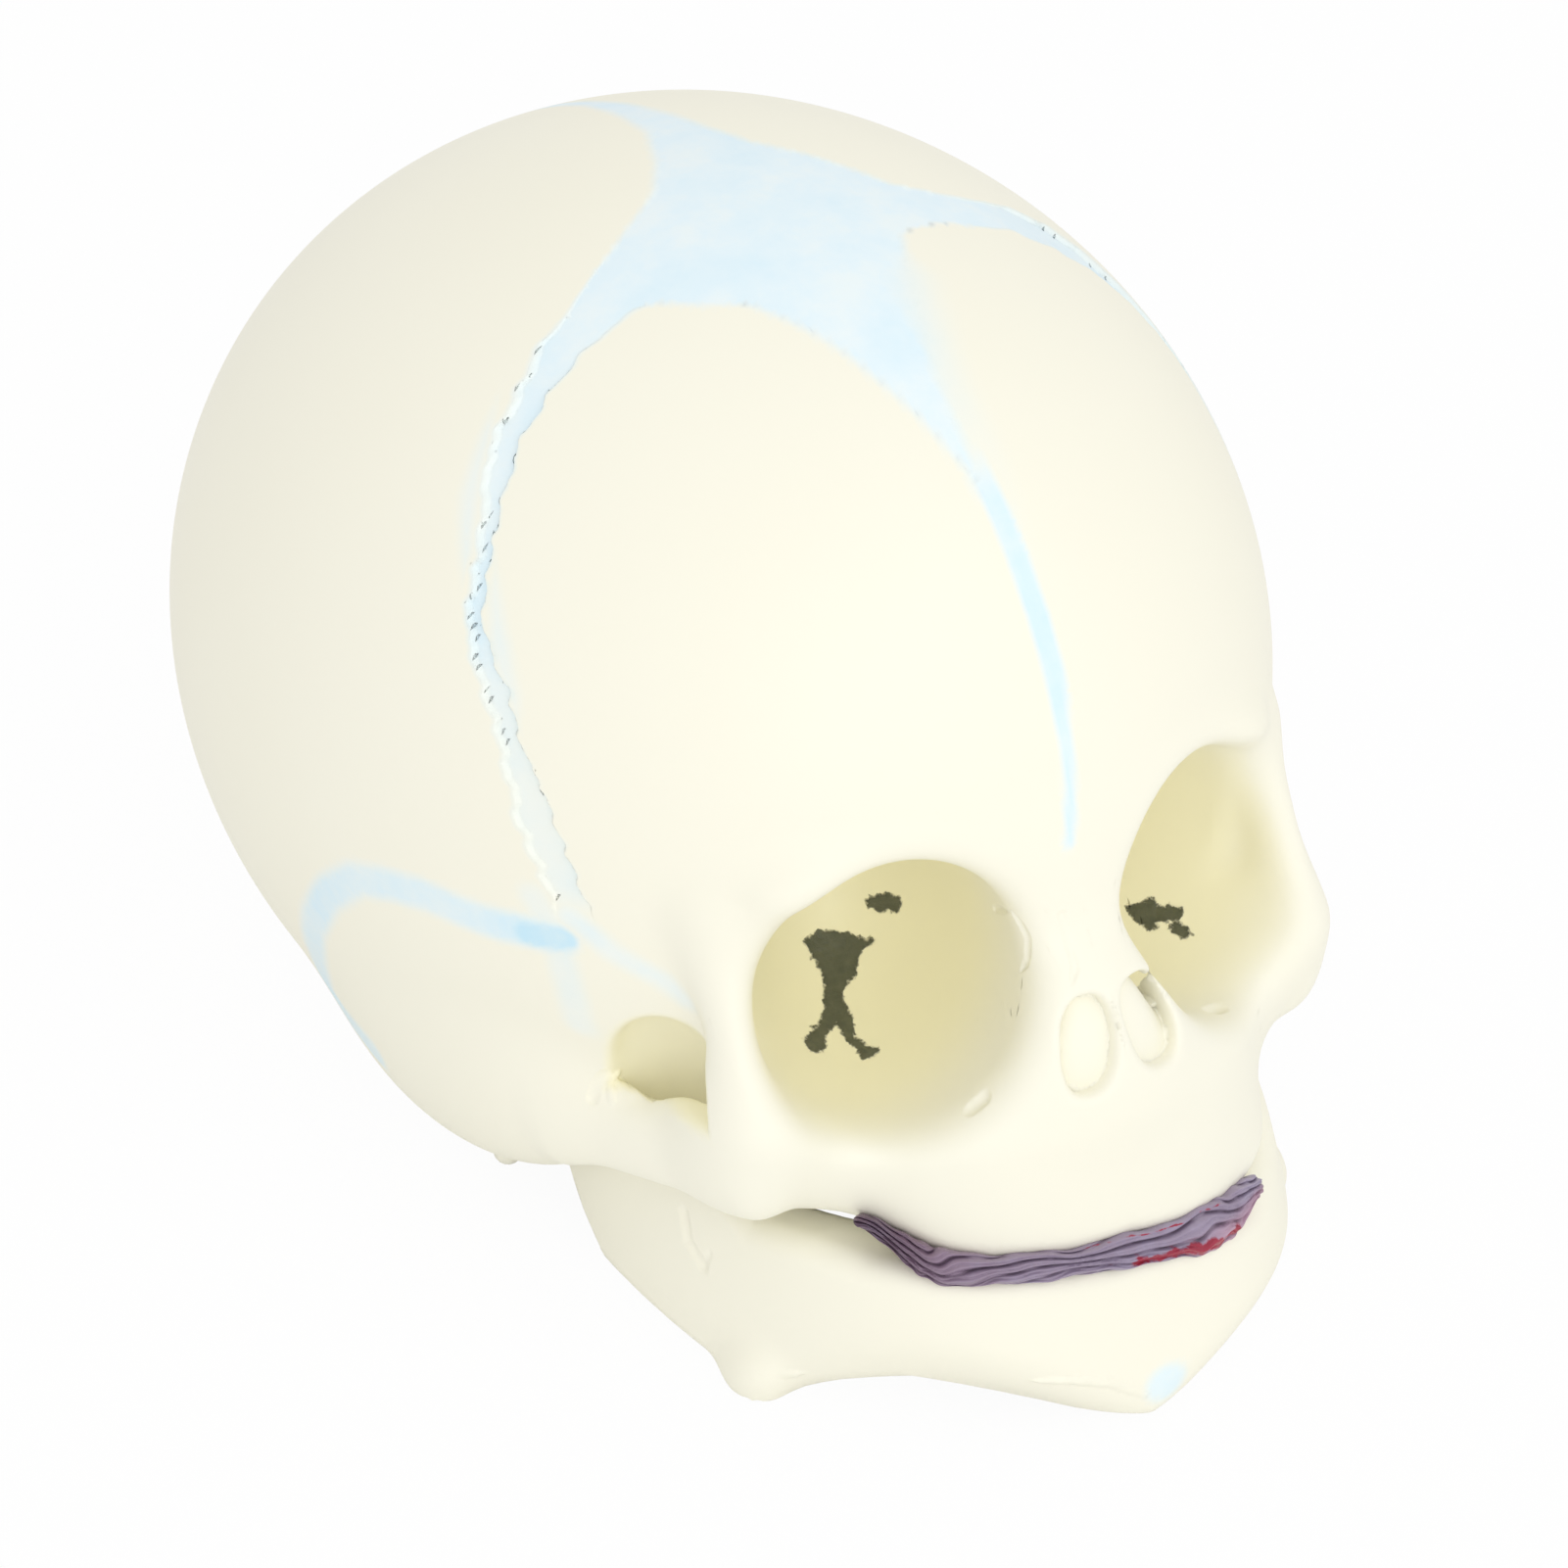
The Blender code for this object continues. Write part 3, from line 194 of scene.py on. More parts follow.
JAW_WALL = sized((0.070, 0.070, 0.050, 0.045))
CONDYLE_CENTRE = sized((0.280, -0.130, -0.310))
CONDYLE_SIZE = sized((0.036, 0.034, 0.034))
GUM_UPPER_NODES = (
    (-0.203, -0.496, -0.345), (-0.190, -0.508, -0.347), (-0.175, -0.525, -0.362),
    (-0.163, -0.537, -0.371), (-0.151, -0.547, -0.378), (-0.123, -0.565, -0.387),
    (-0.093, -0.577, -0.392), (-0.059, -0.586, -0.399), (-0.021, -0.589, -0.402),
    (0.018, -0.590, -0.408), (0.063, -0.585, -0.413), (0.093, -0.578, -0.414),
    (0.116, -0.570, -0.416), (0.136, -0.560, -0.418), (0.152, -0.553, -0.420))
GUM_LOWER_NODES = (
    (-0.203, -0.497, -0.351), (-0.194, -0.512, -0.363), (-0.181, -0.529, -0.383),
    (-0.172, -0.538, -0.397), (-0.158, -0.551, -0.406), (-0.130, -0.568, -0.411),
    (-0.099, -0.581, -0.416), (-0.065, -0.590, -0.421), (-0.028, -0.594, -0.428),
    (0.011, -0.595, -0.436), (0.053, -0.592, -0.447), (0.080, -0.588, -0.453),
    (0.102, -0.582, -0.452), (0.126, -0.571, -0.441), (0.150, -0.560, -0.437))
WALL_COVER = 0.7
UNFOLD_ROUNDS = 8
UNFOLD_SHARE = 0.7
FOLD_LIMIT = 0.30
FOLD_AREA = 0.02
NORMAL_TRUST = (0.60, 0.85)
GUM_STATIONS = 420
GUM_AROUND = 120
GUM_TIP = 0.03
GUM_BULGE = 0.0008
GUM_BACK = 0.0018
GUM_FOLD_DEPTH = 0.0009
GUM_FOLDS = 3.4
GUM_FINE_FOLDS = 2.3 * GUM_FOLDS
GUM_LONG_SHARE = 0.72
GUM_WAVES = ((0.75, 7.0, 0.5, 0.0), (0.45, 17.0, 2.0, 3.0), (0.12, 43.0, 0.0, 5.0))
GUM_EDGE_WAVES = ((0.06, 43.0, 1.0), (0.05, 97.0, 0.0))
GUM_RIPPLE = (0.6, 97.0)
GUM_DARK_END = (0.04, 0.30)
GUM_PALE_START = (0.15, 0.55)
GUM_PALE_END = (0.85, 1.00)
GUM_LOBE_START = (0.68, 0.84)
GUM_LOBE_TOP = (0.30, 0.70)
GUM_RED_BANDS = ((0.72, 0.20, 0.24, (0.50, 0.64), (0.84, 0.92)),
                 (0.62, 0.93, 0.05, (0.40, 0.60), (0.76, 0.86)),
                 (0.55, 0.05, 0.05, (-1.0, -0.5), (0.10, 0.50)))
SYMPHYSIS_WIDTH = MODULE * 0.020
SYMPHYSIS_TOP = MODULE * -0.515
SYMPHYSIS_DEPTH = MODULE * 0.026

# Suture lines, each as a run and the edge position along it, as shares of the module
RIGHT_FRONTAL = sized((
    (-0.080, -0.033, 0.002, 0.031, 0.055, 0.074, 0.102, 0.128, 0.146, 0.164, 0.186, 0.209, 0.239,
     0.273, 0.306, 0.343, 0.375, 0.400),
    (-0.395, -0.389, -0.384, -0.376, -0.372, -0.359, -0.350, -0.341, -0.328, -0.317, -0.307,
     -0.304, -0.298, -0.290, -0.281, -0.279, -0.283, -0.285)))
LEFT_FRONTAL = sized((
    (-0.080, 0.002, 0.102, 0.186, 0.239, 0.287, 0.332, 0.362, 0.376, 0.390, 0.395),
    (-0.395, -0.384, -0.350, -0.313, -0.303, -0.294, -0.297, -0.299, -0.305, -0.310, -0.322)))
RIGHT_PARIETAL = sized((
    (-0.070, -0.041, -0.021, 0.024, 0.049, 0.077, 0.097, 0.123, 0.149, 0.174, 0.196, 0.221,
     0.245, 0.269, 0.300, 0.334, 0.363, 0.400),
    (-0.364, -0.363, -0.360, -0.348, -0.346, -0.339, -0.334, -0.321, -0.309, -0.297, -0.293,
     -0.290, -0.283, -0.273, -0.258, -0.254, -0.244, -0.240)))
LEFT_PARIETAL = sized((
    (-0.070, 0.024, 0.097, 0.174, 0.245, 0.300, 0.343, 0.373, 0.394, 0.413),
    (-0.364, -0.348, -0.334, -0.293, -0.276, -0.255, -0.244, -0.253, -0.264, -0.268)))
RIGHT_METOPIC = sized((
    (-0.560, -0.540, -0.515, -0.498, -0.470, -0.443, -0.411, -0.374, -0.345, -0.323, -0.299,
     -0.283, -0.270),
    (-0.010, -0.004, 0.001, 0.009, 0.021, 0.034, 0.048, 0.069, 0.088, 0.117, 0.140, 0.163, 0.190)))
LEFT_METOPIC = sized((
    (-0.560, -0.540, -0.515, -0.477, -0.456, -0.420, -0.389, -0.354, -0.322, -0.310, -0.305,
     -0.290),
    (-0.010, -0.004, 0.003, 0.009, 0.014, 0.028, 0.042, 0.058, 0.076, 0.117, 0.159, 0.195)))
RIGHT_SAGITTAL = sized((
    (-0.250, -0.240, -0.229, -0.222, -0.209, -0.197, -0.184, -0.145, -0.087, -0.028, 0.062,
     0.380, 0.430, 0.460),
    (0.219, 0.192, 0.163, 0.142, 0.117, 0.094, 0.075, 0.049, 0.023, 0.014, 0.007, 0.009, 0.020,
     0.045)))
LEFT_SAGITTAL = sized((
    (-0.268, -0.255, -0.231, -0.191, -0.158, -0.111, -0.036, 0.086, 0.380, 0.430, 0.460),
    (0.160, 0.110, 0.092, 0.062, 0.035, 0.023, 0.016, 0.007, 0.009, 0.020, 0.045)))
SQUAMOUS_RUN = sized((-0.40, -0.364, -0.32, -0.278, -0.232, -0.172, -0.107, -0.036, 0.046, 0.08,
                       0.11, 0.14))
SQUAMOUS_EDGE = sized((-0.082, -0.080, -0.075, -0.063, -0.044, -0.045, -0.079, -0.138, -0.211,
                        -0.270, -0.340, -0.420))
BROW_SEAM_RUN = sized((0.0, 0.06, 0.14, 0.20, 0.268, 0.287, 0.322, 0.343, 0.38))
BROW_SEAM = sized((-0.080, -0.090, -0.095, -0.110, -0.150, -0.146, -0.111, -0.083, -0.050))
SPHENOID_RUN = sized((0.0, 0.12, 0.24, 0.322, 0.339, 0.348, 0.37))
SPHENOID_EDGE = sized((-0.20, -0.20, -0.27, -0.333, -0.345, -0.371, -0.40))
PETROUS_RUN = sized((-0.35, -0.20, 0.05))
PETROUS_EDGE = sized((0.20, 0.085, 0.085))
LAMBDA = sized((0.46, 0.30))
LAMBDOID_SLOPE = 0.79
LAMBDOID_SPREAD = 0.30
LAMBDOID_STEEPNESS = 0.76
MIDLINE_STEEPNESS = 0.75
CHEEK_SEAM = MODULE * 0.175
CHEEK_SEAM_LEVEL = MODULE * -0.260
CHEEK_SEAM_SLOPE = 0.45
ARCH_ZONE = sized((0.272, -0.370, -0.205))
CHEEK_REAR = MODULE * -0.430
MAXILLA_REAR = MODULE * -0.360
EXOCCIPITAL = sized((0.185, 0.165, 0.040))
BASIOCCIPITAL = sized((0.085, -0.020, -0.200))
ETHMOID = sized((0.095, -0.520, -0.225))
NASAL_CENTRE = sized((0.0, -0.595, -0.128))
NASAL_SIZE = sized((0.034, 0.035, 0.042))
SEPTUM_CENTRE = sized((0.0, -0.610, -0.224))
SEPTUM_SIZE = sized((0.015, 0.045, 0.052))
LACRIMAL_CENTRE = sized((0.042, -0.525, -0.155))
LACRIMAL_SIZE = sized((0.020, 0.035, 0.045))
RING_CENTRE = sized((0.318, -0.075, -0.345))
RING_RADIUS = sized((0.040, 0.013))
RING_YAW = math.radians(20.0)
EAR_PIT = sized((0.028, 0.028, 0.028))
VAULT_DEPTH = MODULE * 0.050

# How softly masses run into each other, as shares of the module
SOFT = MODULE * 0.060
FIRM = MODULE * 0.030
CRISP = MODULE * 0.010

# Serrated edges of the coronal suture
TOOTH_LENGTH = 0.0031
TOOTH_DEPTH = 0.00020
TOOTH_WANDER = 1.1
BAND_FADE = sized((0.180, 0.260))
SKULL_MARKS = (
    (0.00016, 0.0005, ((-0.020, -0.585, -0.112), (-0.019, -0.590, -0.146), (-0.020, -0.595, -0.155),
                       (-0.027, -0.595, -0.169), (-0.022, -0.584, -0.187))),
    (0.00025, 0.0005, ((-0.033, -0.502, -0.127), (-0.048, -0.560, -0.105), (-0.046, -0.568, -0.130),
                       (-0.046, -0.563, -0.152), (-0.039, -0.540, -0.180))),
    (0.00045, 0.0011, ((0.149, -0.525, -0.277), (0.156, -0.523, -0.276))),
    (0.00050, 0.0009, ((-0.113, -0.556, -0.260), (-0.102, -0.561, -0.254))),
    (0.00050, 0.0008, ((-0.336, -0.317, -0.250), (-0.333, -0.320, -0.240),
                       (-0.324, -0.325, -0.232))),
    (-0.00020, 0.0006, ((-0.322, -0.330, -0.252), (-0.320, -0.326, -0.240),
                        (-0.310, -0.326, -0.234))),
)
JAW_MARKS = (
    (0.00035, 0.0008, ((-0.276, -0.330, -0.375), (-0.279, -0.334, -0.400),
                       (-0.277, -0.351, -0.418))),
    (0.00020, 0.0005, ((-0.277, -0.351, -0.418), (-0.274, -0.360, -0.404))),
    (-0.00030, 0.0006, ((-0.262, -0.412, -0.498), (-0.242, -0.451, -0.500), (-0.204, -0.506, -0.496),
                        (-0.167, -0.542, -0.498), (-0.126, -0.570, -0.506), (-0.078, -0.588, -0.514),
                        (-0.043, -0.594, -0.527), (-0.010, -0.594, -0.550))),
)
BAND_FOOT = sized((-0.070, -0.030))
REAR_FOOT = sized((-0.200, -0.050))
LAMBDOID_STEP = 0.00020

# Camera: distance and angles of the photograph, and its frame of 1601 pixels
PHOTO_SIZE = 1601
CAMERA_DISTANCE = 0.400
CAMERA_AZIMUTH = math.radians(-30.79)
CAMERA_ELEVATION = math.radians(34.05)
CAMERA_FOCUS_PIXELS = 4496.0
BRAINCASE_PIXEL = (720.56, 635.46)
SENSOR_WIDTH = 36.0

# Colours, as light values
BONE_PALE = (0.950, 0.932, 0.810)
BONE_WARM = (0.928, 0.900, 0.750)
# Painted warm bounce light: the yellower colour given to the eye sockets and the temple hollows,
# where light thrown about inside them would yellow the cream plastic.
SOCKET_BOUNCE_LIGHT = (0.985, 0.945, 0.710)
BLUE_PALE = (0.830, 0.935, 0.970)
BLUE_DEEP = (0.560, 0.820, 0.965)
FISSURE_DARK = (0.060, 0.066, 0.043)
FISSURE_LIGHT = (0.130, 0.136, 0.090)
# Painted shade: the dark colour laid into the creases of the gum strip, which also darkens its first
# end.
GUM_PAINTED_SHADE = (0.050, 0.022, 0.048)
GUM_MIDDLE = (0.215, 0.130, 0.185)
GUM_PALE = (0.350, 0.300, 0.420)
GUM_PINK = (0.480, 0.310, 0.410)
GUM_RED = (0.330, 0.015, 0.045)
STEEL_DARK = (0.50, 0.51, 0.52)
STEEL_LIGHT = (0.60, 0.61, 0.62)

# Textures: scale, detail and roughness of noise, factor and offset of sums
BONE_CLOUD = (22.0, 3.0, 0.5)
BONE_GRAIN = (900.0, 3.0, 0.55)
BONE_ROUGHNESS = 0.46
PAINT_STREAK = (160.0, 4.0, 0.6)
PAINT_COVER = (0.7, 0.65)
PAINT_WASH = (0.9, -0.42)
FISSURE_CHIP = (520.0, 6.0, 0.7)
FISSURE_RAGGED = (1.1, -0.55)
FISSURE_EDGE = (0.46, 0.54)
FISSURE_ROUGHNESS = 0.14
GUM_CLOUD = (260.0, 4.0, 0.6)
GUM_FLECK = (700.0, 3.0, 0.6)
GUM_DRIFT = (1.4, -0.70)
GUM_SORE = (1.02, 1.14)
PIN_STRETCH = (80.0, 2400.0, 2400.0)

# Stage
WHITE = (1.0, 1.0, 1.0, 1.0)
FLOOR_GREY = (0.93, 0.93, 0.93)
WORLD_LEVEL = 0.83
LAMPS = (
    ("key", (0.35, -0.80, 1.00), 0.70, 1.15),
    ("fill", (-0.35, -0.95, 0.55), 0.90, 2.6),
)
FLOOR_SIZE = 3.0
FLOOR_WHITENING = 0.95

# Paint: strokes in shares of the module, widths in metres
SIDE_PAINT = MODULE * 0.20
PAINT_SOFTNESS = 0.0010
SEAM_PAINT_SOFTNESS = 0.0005
LOOP_NODES = ((-0.396, -0.022, -0.279), (-0.396, 0.030, -0.262), (-0.404, 0.056, -0.234),
              (-0.425, 0.017, -0.188), (-0.442, -0.033, -0.139), (-0.448, -0.101, -0.087),
              (-0.442, -0.156, -0.060), (-0.432, -0.199, -0.056), (-0.419, -0.238, -0.058),
              (-0.406, -0.271, -0.067), (-0.391, -0.301, -0.075), (-0.375, -0.332, -0.079),
              (-0.359, -0.357, -0.083))
LOOP_RADIUS = 0.0016
STREAK_NODES = ((-0.367, -0.350, -0.045), (-0.360, -0.357, -0.076), (-0.357, -0.353, -0.105),
                (-0.350, -0.345, -0.141), (-0.339, -0.334, -0.175))
STREAK_RADIUS = 0.0011
WING_NODES = ((-0.353, -0.374, -0.061), (-0.343, -0.385, -0.074), (-0.330, -0.396, -0.094),
              (-0.317, -0.409, -0.108), (-0.303, -0.421, -0.121), (-0.285, -0.431, -0.141))
WING_RADIUS = 0.0009
DAB_NODES = ((-0.372, -0.335, -0.083), (-0.354, -0.362, -0.084))
DAB_RADIUS = 0.0012
GLOW_RADII = (-0.0006, 0.0003, 0.0007, 0.0003, -0.0006)
GLOW_SOFTNESS = 0.0016
PARIETAL_GLOW_NODES = ((-0.250, -0.235, 0.345), (-0.286, -0.250, 0.310), (-0.312, -0.262, 0.270),
                       (-0.338, -0.280, 0.228), (-0.352, -0.286, 0.200))
FRONTAL_GLOW_NODES = ((-0.328, -0.303, 0.235), (-0.344, -0.315, 0.200), (-0.354, -0.330, 0.160),
                      (-0.360, -0.348, 0.122), (-0.360, -0.358, 0.090))
METOPIC_LINE = sized((
    (-0.056, -0.010, 0.022, 0.054, 0.085, 0.117, 0.147, 0.177, 0.207, 0.234, 0.263),
    (-0.009, 0.000, 0.003, 0.004, 0.007, 0.007, 0.007, 0.008, 0.008, 0.005, 0.005)))
METOPIC_WIDTH = sized(((-0.056, 0.000, 0.060, 0.120, 0.200, 0.270),
                        (0.0050, 0.0055, 0.0080, 0.0095, 0.0100, 0.0120)))
METOPIC_FOOT = sized((-0.062, -0.050))
METOPIC_REAR = MODULE * -0.40
BAND_REAR = MODULE * 0.35
BAND_LOW = sized((0.05, 0.20))
BAND_SIDE = (0.015, 0.020)
LINE_FOOT = sized((0.05, 0.12))
FINE_BAND_REACH = 0.0011
FINE_BAND_DEPTH = 0.001
FINE_BAND_FOOT = MODULE * -0.09
FINE_BAND_SIDE = MODULE * 0.15
FISSURE_REACH = 0.0008
MARK_REACH = 0.0006
NOSE_ZONE = sized((0.08, -0.54, 0.06))
METOPIC_HEAD = sized((-0.275, -0.225))
FISSURE_SETS = (
    ((0.0004, 0.0014, 0.0019, 0.0015, 0.0008, 0.0007),
     ((-0.106, -0.296, -0.194), (-0.093, -0.306, -0.201), (-0.084, -0.312, -0.204),
      (-0.091, -0.324, -0.214), (-0.104, -0.336, -0.228), (-0.110, -0.346, -0.236))),
    ((0.0012, 0.0006, 0.0003), ((-0.078, -0.312, -0.200), (-0.067, -0.322, -0.201),
                                (-0.059, -0.328, -0.201))),
    ((0.0007, 0.0008, 0.0006, 0.0008), ((-0.110, -0.346, -0.236), (-0.125, -0.356, -0.241),
                                        (-0.143, -0.369, -0.244), (-0.157, -0.381, -0.246))),
    ((0.0008, 0.0007, 0.0004, 0.0008), ((-0.108, -0.346, -0.236), (-0.114, -0.362, -0.244),
                                        (-0.120, -0.385, -0.254), (-0.117, -0.404, -0.259))),
    ((0.0003, 0.0007, 0.0007), ((-0.046, -0.318, -0.169), (-0.041, -0.329, -0.169),
                                (-0.036, -0.339, -0.167))),
    ((0.0005, 0.0011, 0.0010, 0.0004), ((0.172, -0.378, -0.234), (0.179, -0.388, -0.236),
                                        (0.188, -0.403, -0.236), (0.197, -0.414, -0.236))),
    ((0.0004, 0.0003, 0.0006), ((0.178, -0.398, -0.245), (0.190, -0.414, -0.247),
                                (0.193, -0.428, -0.249))),
)
FISSURE_SPREAD = 0.0024
SOCKET = sized((-0.545, -0.430))
CHIN_PATCH = sized((0.012, -0.549))
CHIN_FRONT = MODULE * -0.5
CHIN_PATCH_SIZE = sized((0.021, 0.016))

# Names of the pieces and of the value layers
BONES = ("frontal_bone", "parietal_bone", "occipital_squama", "temporal_bone", "sphenoid_bone",
         "zygomatic_bone", "maxilla", "exoccipital_bone", "basioccipital_bone", "ethmoid_bone",
         "nasal_bone", "nasal_septum", "lacrimal_bone", "ear_ring")
PAIRED = ("frontal_bone", "parietal_bone", "temporal_bone", "zygomatic_bone", "maxilla",
          "exoccipital_bone", "nasal_bone", "lacrimal_bone", "ear_ring")
MEMBRANE = "suture_membrane"
CHIN = "chin_symphysis"
JAW_NODES = ("mandible", CHIN, "gum_strip")
# On the skull the depth layer carries painted warm bounce light in the hollows. On the gum the paint
# layer carries painted shade in the creases, and the depth layer carries the pink lobe.
MASK_NAMES = ("paint", "tint", "fissure", "depth")


# Field helpers: negative inside, in metres

def along(run, runs, edges):
    """Edge position looked up along a run."""
    return np.interp(run, runs, edges)


def two_sided(x, run, right, left):
    """Edge position looked up along a run, with one table for each side of the skull."""
    return np.where(x > 0.0, along(run, *left), along(run, *right))


def join(a, b, softness):
    """Soft union of two fields."""
    mix = np.clip(0.5 + 0.5 * (b - a) / softness, 0.0, 1.0)
    return b + (a - b) * mix - softness * mix * (1.0 - mix)


def meet(a, b, softness):
    """Soft intersection of two fields."""
    return -join(-a, -b, softness)


def cut(a, b, softness):
    """Field a with b taken away, the rim rounded."""
    return -join(-a, b, softness)


def all_of(*fields):
    """Hard intersection of several fields."""
    result = fields[0]
    for field in fields[1:]:
        result = np.maximum(result, field)
    return result


def any_of(*fields):
    """Hard union of several fields."""
    result = fields[0]
    for field in fields[1:]:
        result = np.minimum(result, field)
    return result


def ramp(value, low, high):
    """Smooth step from 0 to 1 between two values."""
    share = np.clip((value - low) / (high - low), 0.0, 1.0)
    return share * share * (3.0 - 2.0 * share)


def fall(value, low, high):
    """Smooth step from 1 to 0 between two values."""
    return ramp(-value, -high, -low)


def turned(u, v, angle):
    """Two coordinates turned by an angle."""
    return (math.cos(angle) * u + math.sin(angle) * v,
            math.cos(angle) * v - math.sin(angle) * u)


def ellipsoid(point, centre, size, yaw=0.0, roll=0.0):
    """Ellipsoid mirrored to both sides of the skull."""
    x = np.abs(point[0]) - centre[0]
    y = point[1] - centre[1]
    z = point[2] - centre[2]
    x, y = turned(x, y, yaw)
    z, x = turned(z, x, roll)
    level = np.sqrt((x / size[0]) ** 2 + (y / size[1]) ** 2 + (z / size[2]) ** 2)
    slope = np.sqrt((x / size[0] ** 2) ** 2 + (y / size[1] ** 2) ** 2 + (z / size[2] ** 2) ** 2)
    return (level - 1.0) * level / (slope + NEAR_ZERO / MODULE)


def rod(point, start, end, radius, flattening=1.0):
    """Capsule on both sides; flattening below one stretches it upright."""
    span = np.subtract(end, start) * np.array((1.0, 1.0, flattening))
    x = np.abs(point[0]) - start[0]
    y = point[1] - start[1]
    z = (point[2] - start[2]) * flattening
    share = np.clip((x * span[0] + y * span[1] + z * span[2]) / span.dot(span), 0.0, 1.0)
    reach = (x - share * span[0]) ** 2 + (y - share * span[1]) ** 2 + (z - share * span[2]) ** 2
    return np.sqrt(reach) - radius


def superoval(x, y, half_x, half_y, power):
    """Flat oval of a given squareness, extruded along the third axis."""
    across = np.abs(x) / half_x + NEAR_ZERO
    ahead = np.abs(y) / half_y + NEAR_ZERO
    level = (across ** power + ahead ** power) ** (1.0 / power)
    slope = level ** (1.0 - power) * np.sqrt((across ** (power - 1.0) / half_x) ** 2
                                             + (ahead ** (power - 1.0) / half_y) ** 2)
    return (level - 1.0) / (slope + NEAR_ZERO / MODULE)


def rounded(a, b, radius):
    """Intersection of two fields with the shared edge rounded."""
    a = a + radius
    b = b + radius
    outside = np.sqrt(np.maximum(a, 0.0) ** 2 + np.maximum(b, 0.0) ** 2)
    return outside + np.minimum(np.maximum(a, b), 0.0) - radius


def block(point, centre, size):
    """Box on both sides of the skull."""
    return all_of(np.abs(np.abs(point[0]) - centre[0]) - size[0],
                  np.abs(point[1] - centre[1]) - size[1],
                  np.abs(point[2] - centre[2]) - size[2])


# Frames

def to_skull(world, shift):
    """World points as level skull coordinates."""
    y = world[:, 1] - shift
    z = world[:, 2] - FLOOR_DROP
    return (world[:, 0],
            y * math.cos(HEAD_TILT) - z * math.sin(HEAD_TILT),
            y * math.sin(HEAD_TILT) + z * math.cos(HEAD_TILT))


def to_world(point, shift):
    """Level skull coordinates as one world point."""
    x, y, z = point
    return (x, y * math.cos(HEAD_TILT) + z * math.sin(HEAD_TILT) + shift,
            z * math.cos(HEAD_TILT) - y * math.sin(HEAD_TILT) + FLOOR_DROP)


def height_above_floor(point):
    """Height over the plane that the skull rests on."""
    return point[2] * math.cos(HEAD_TILT) - point[1] * math.sin(HEAD_TILT) + FLOOR_DROP


# Skull forms

def braincase(point, inset=0.0, base_inset=0.0):
    """Braincase egg with its flattened base and resting land."""
    half = (HEAD_BREADTH / 2.0 - inset, HEAD_LENGTH / 2.0 - inset, HEAD_HEIGHT / 2.0 - inset)
    egg = ellipsoid(point, (0.0, 0.0, 0.0), half)
    egg = meet(egg, base_inset - height_above_floor(point), SOFT)
    return meet(egg, base_inset - BASE_DROP - point[2], SOFT)


def egg_depth(point):
    """Plain braincase egg, used to tell plates from inner walls."""
    half = (HEAD_BREADTH / 2.0, HEAD_LENGTH / 2.0, HEAD_HEIGHT / 2.0)
    return ellipsoid(point, (0.0, 0.0, 0.0), half)


def orbit(point):
    """Eye socket cone."""
    return ellipsoid(point, ORBIT_CENTRE, ORBIT_SIZE, ORBIT_YAW, ORBIT_ROLL)


def face_form(point):
    """Upper jaw, nose bridge, cheeks, brow and cheek arches."""
    form = ellipsoid(point, FACE_CENTRE, FACE_SIZE)
    x = point[0] / (1.0 + ARCADE_WIDENING * ramp(point[0], 0.0, ARCADE_SIZE[0]))
    oval = superoval(x, point[1] - ARCADE_CENTRE,
                     ARCADE_SIZE[0], ARCADE_SIZE[1],
                     ARCADE_SQUARENESS)
    lower = along(point[1], ARCADE_RUN, ARCADE_UNDER) + along(
        point[0], *ARCADE_SKEW)
    band = np.maximum(lower - point[2], point[2] - ARCADE_TOP)
    form = join(form, rounded(oval, band, ARCADE_ROUND), SOFT)
    form = join(form, ellipsoid(point, BRIDGE_CENTRE, BRIDGE_SIZE), SOFT)
    form = join(form, ellipsoid(point, NOSE_CENTRE, NOSE_SIZE), SOFT)
    form = join(form, ellipsoid(point, CHEEK_CENTRE, CHEEK_SIZE), SOFT)
    strut = rod(point, STRUT_FOOT, STRUT_HEAD,
                STRUT_RADIUS)
    form = join(form, strut, SOFT)
    return join(form, ellipsoid(point, BROW_CENTRE, BROW_SIZE), SOFT)


def temple(point):
    """Hollow behind the cheek that leaves the arch standing outside it."""
    hollow = ellipsoid(point, TEMPLE_CENTRE, TEMPLE_SIZE)
    side = along(point[1], GUARD_RUN, GUARD_SIDE)
    guard = rounded(point[2] - GUARD_TOP, side - np.abs(point[0]),
                    GUARD_ROUND)
    return np.maximum(hollow, -guard)


def nostril(point, form):
    """Pocket of even depth on both sides of the nose."""
    z = point[2] - NOSTRIL_LEVEL
    left = point[0] > 0.0
    centre, width = (np.where(left, LEFT_NOSTRIL[k], RIGHT_NOSTRIL[k])
                     for k in (0, 1))
    x = np.abs(point[0]) - centre + NOSTRIL_LEAN * z
    outline = superoval(x, z, width, NOSTRIL_HEIGHT, NOSTRIL_SQUARENESS)
    return all_of(outline, -form - NOSTRIL_FLOOR,
                  point[1] - NOSTRIL_REAR)


def skull_form(point):
    """Whole outer form of the skull without its jaw."""
    form = join(braincase(point), face_form(point), FIRM)
    form = join(form, ellipsoid(point, EAR_ROOT_CENTRE, EAR_ROOT_SIZE), SOFT)
    arch = rod(point, ARCH_FRONT, ARCH_REAR,
               ARCH_RADIUS, ARCH_FLATTENING)
    form = join(form, arch, FIRM)
    form = cut(form, temple(point), CRISP)
    form = join(form, ellipsoid(point, MASTOID_CENTRE, MASTOID_SIZE), FIRM)
    form = join(form, rod(point, PTERYGOID_TOP, PTERYGOID_FOOT,
                          PTERYGOID_RADIUS), FIRM)
    form = join(form, ellipsoid(point, CONDYLE_BUMP_CENTRE, CONDYLE_BUMP_SIZE), CRISP)
    form = np.maximum(form, -height_above_floor(point))
    form = cut(form, orbit(point), FIRM)
    form = cut(form, nostril(point, form), CRISP)
    form = cut(form, ellipsoid(point, PALATE_CENTRE, PALATE_SIZE), FIRM)
    return form


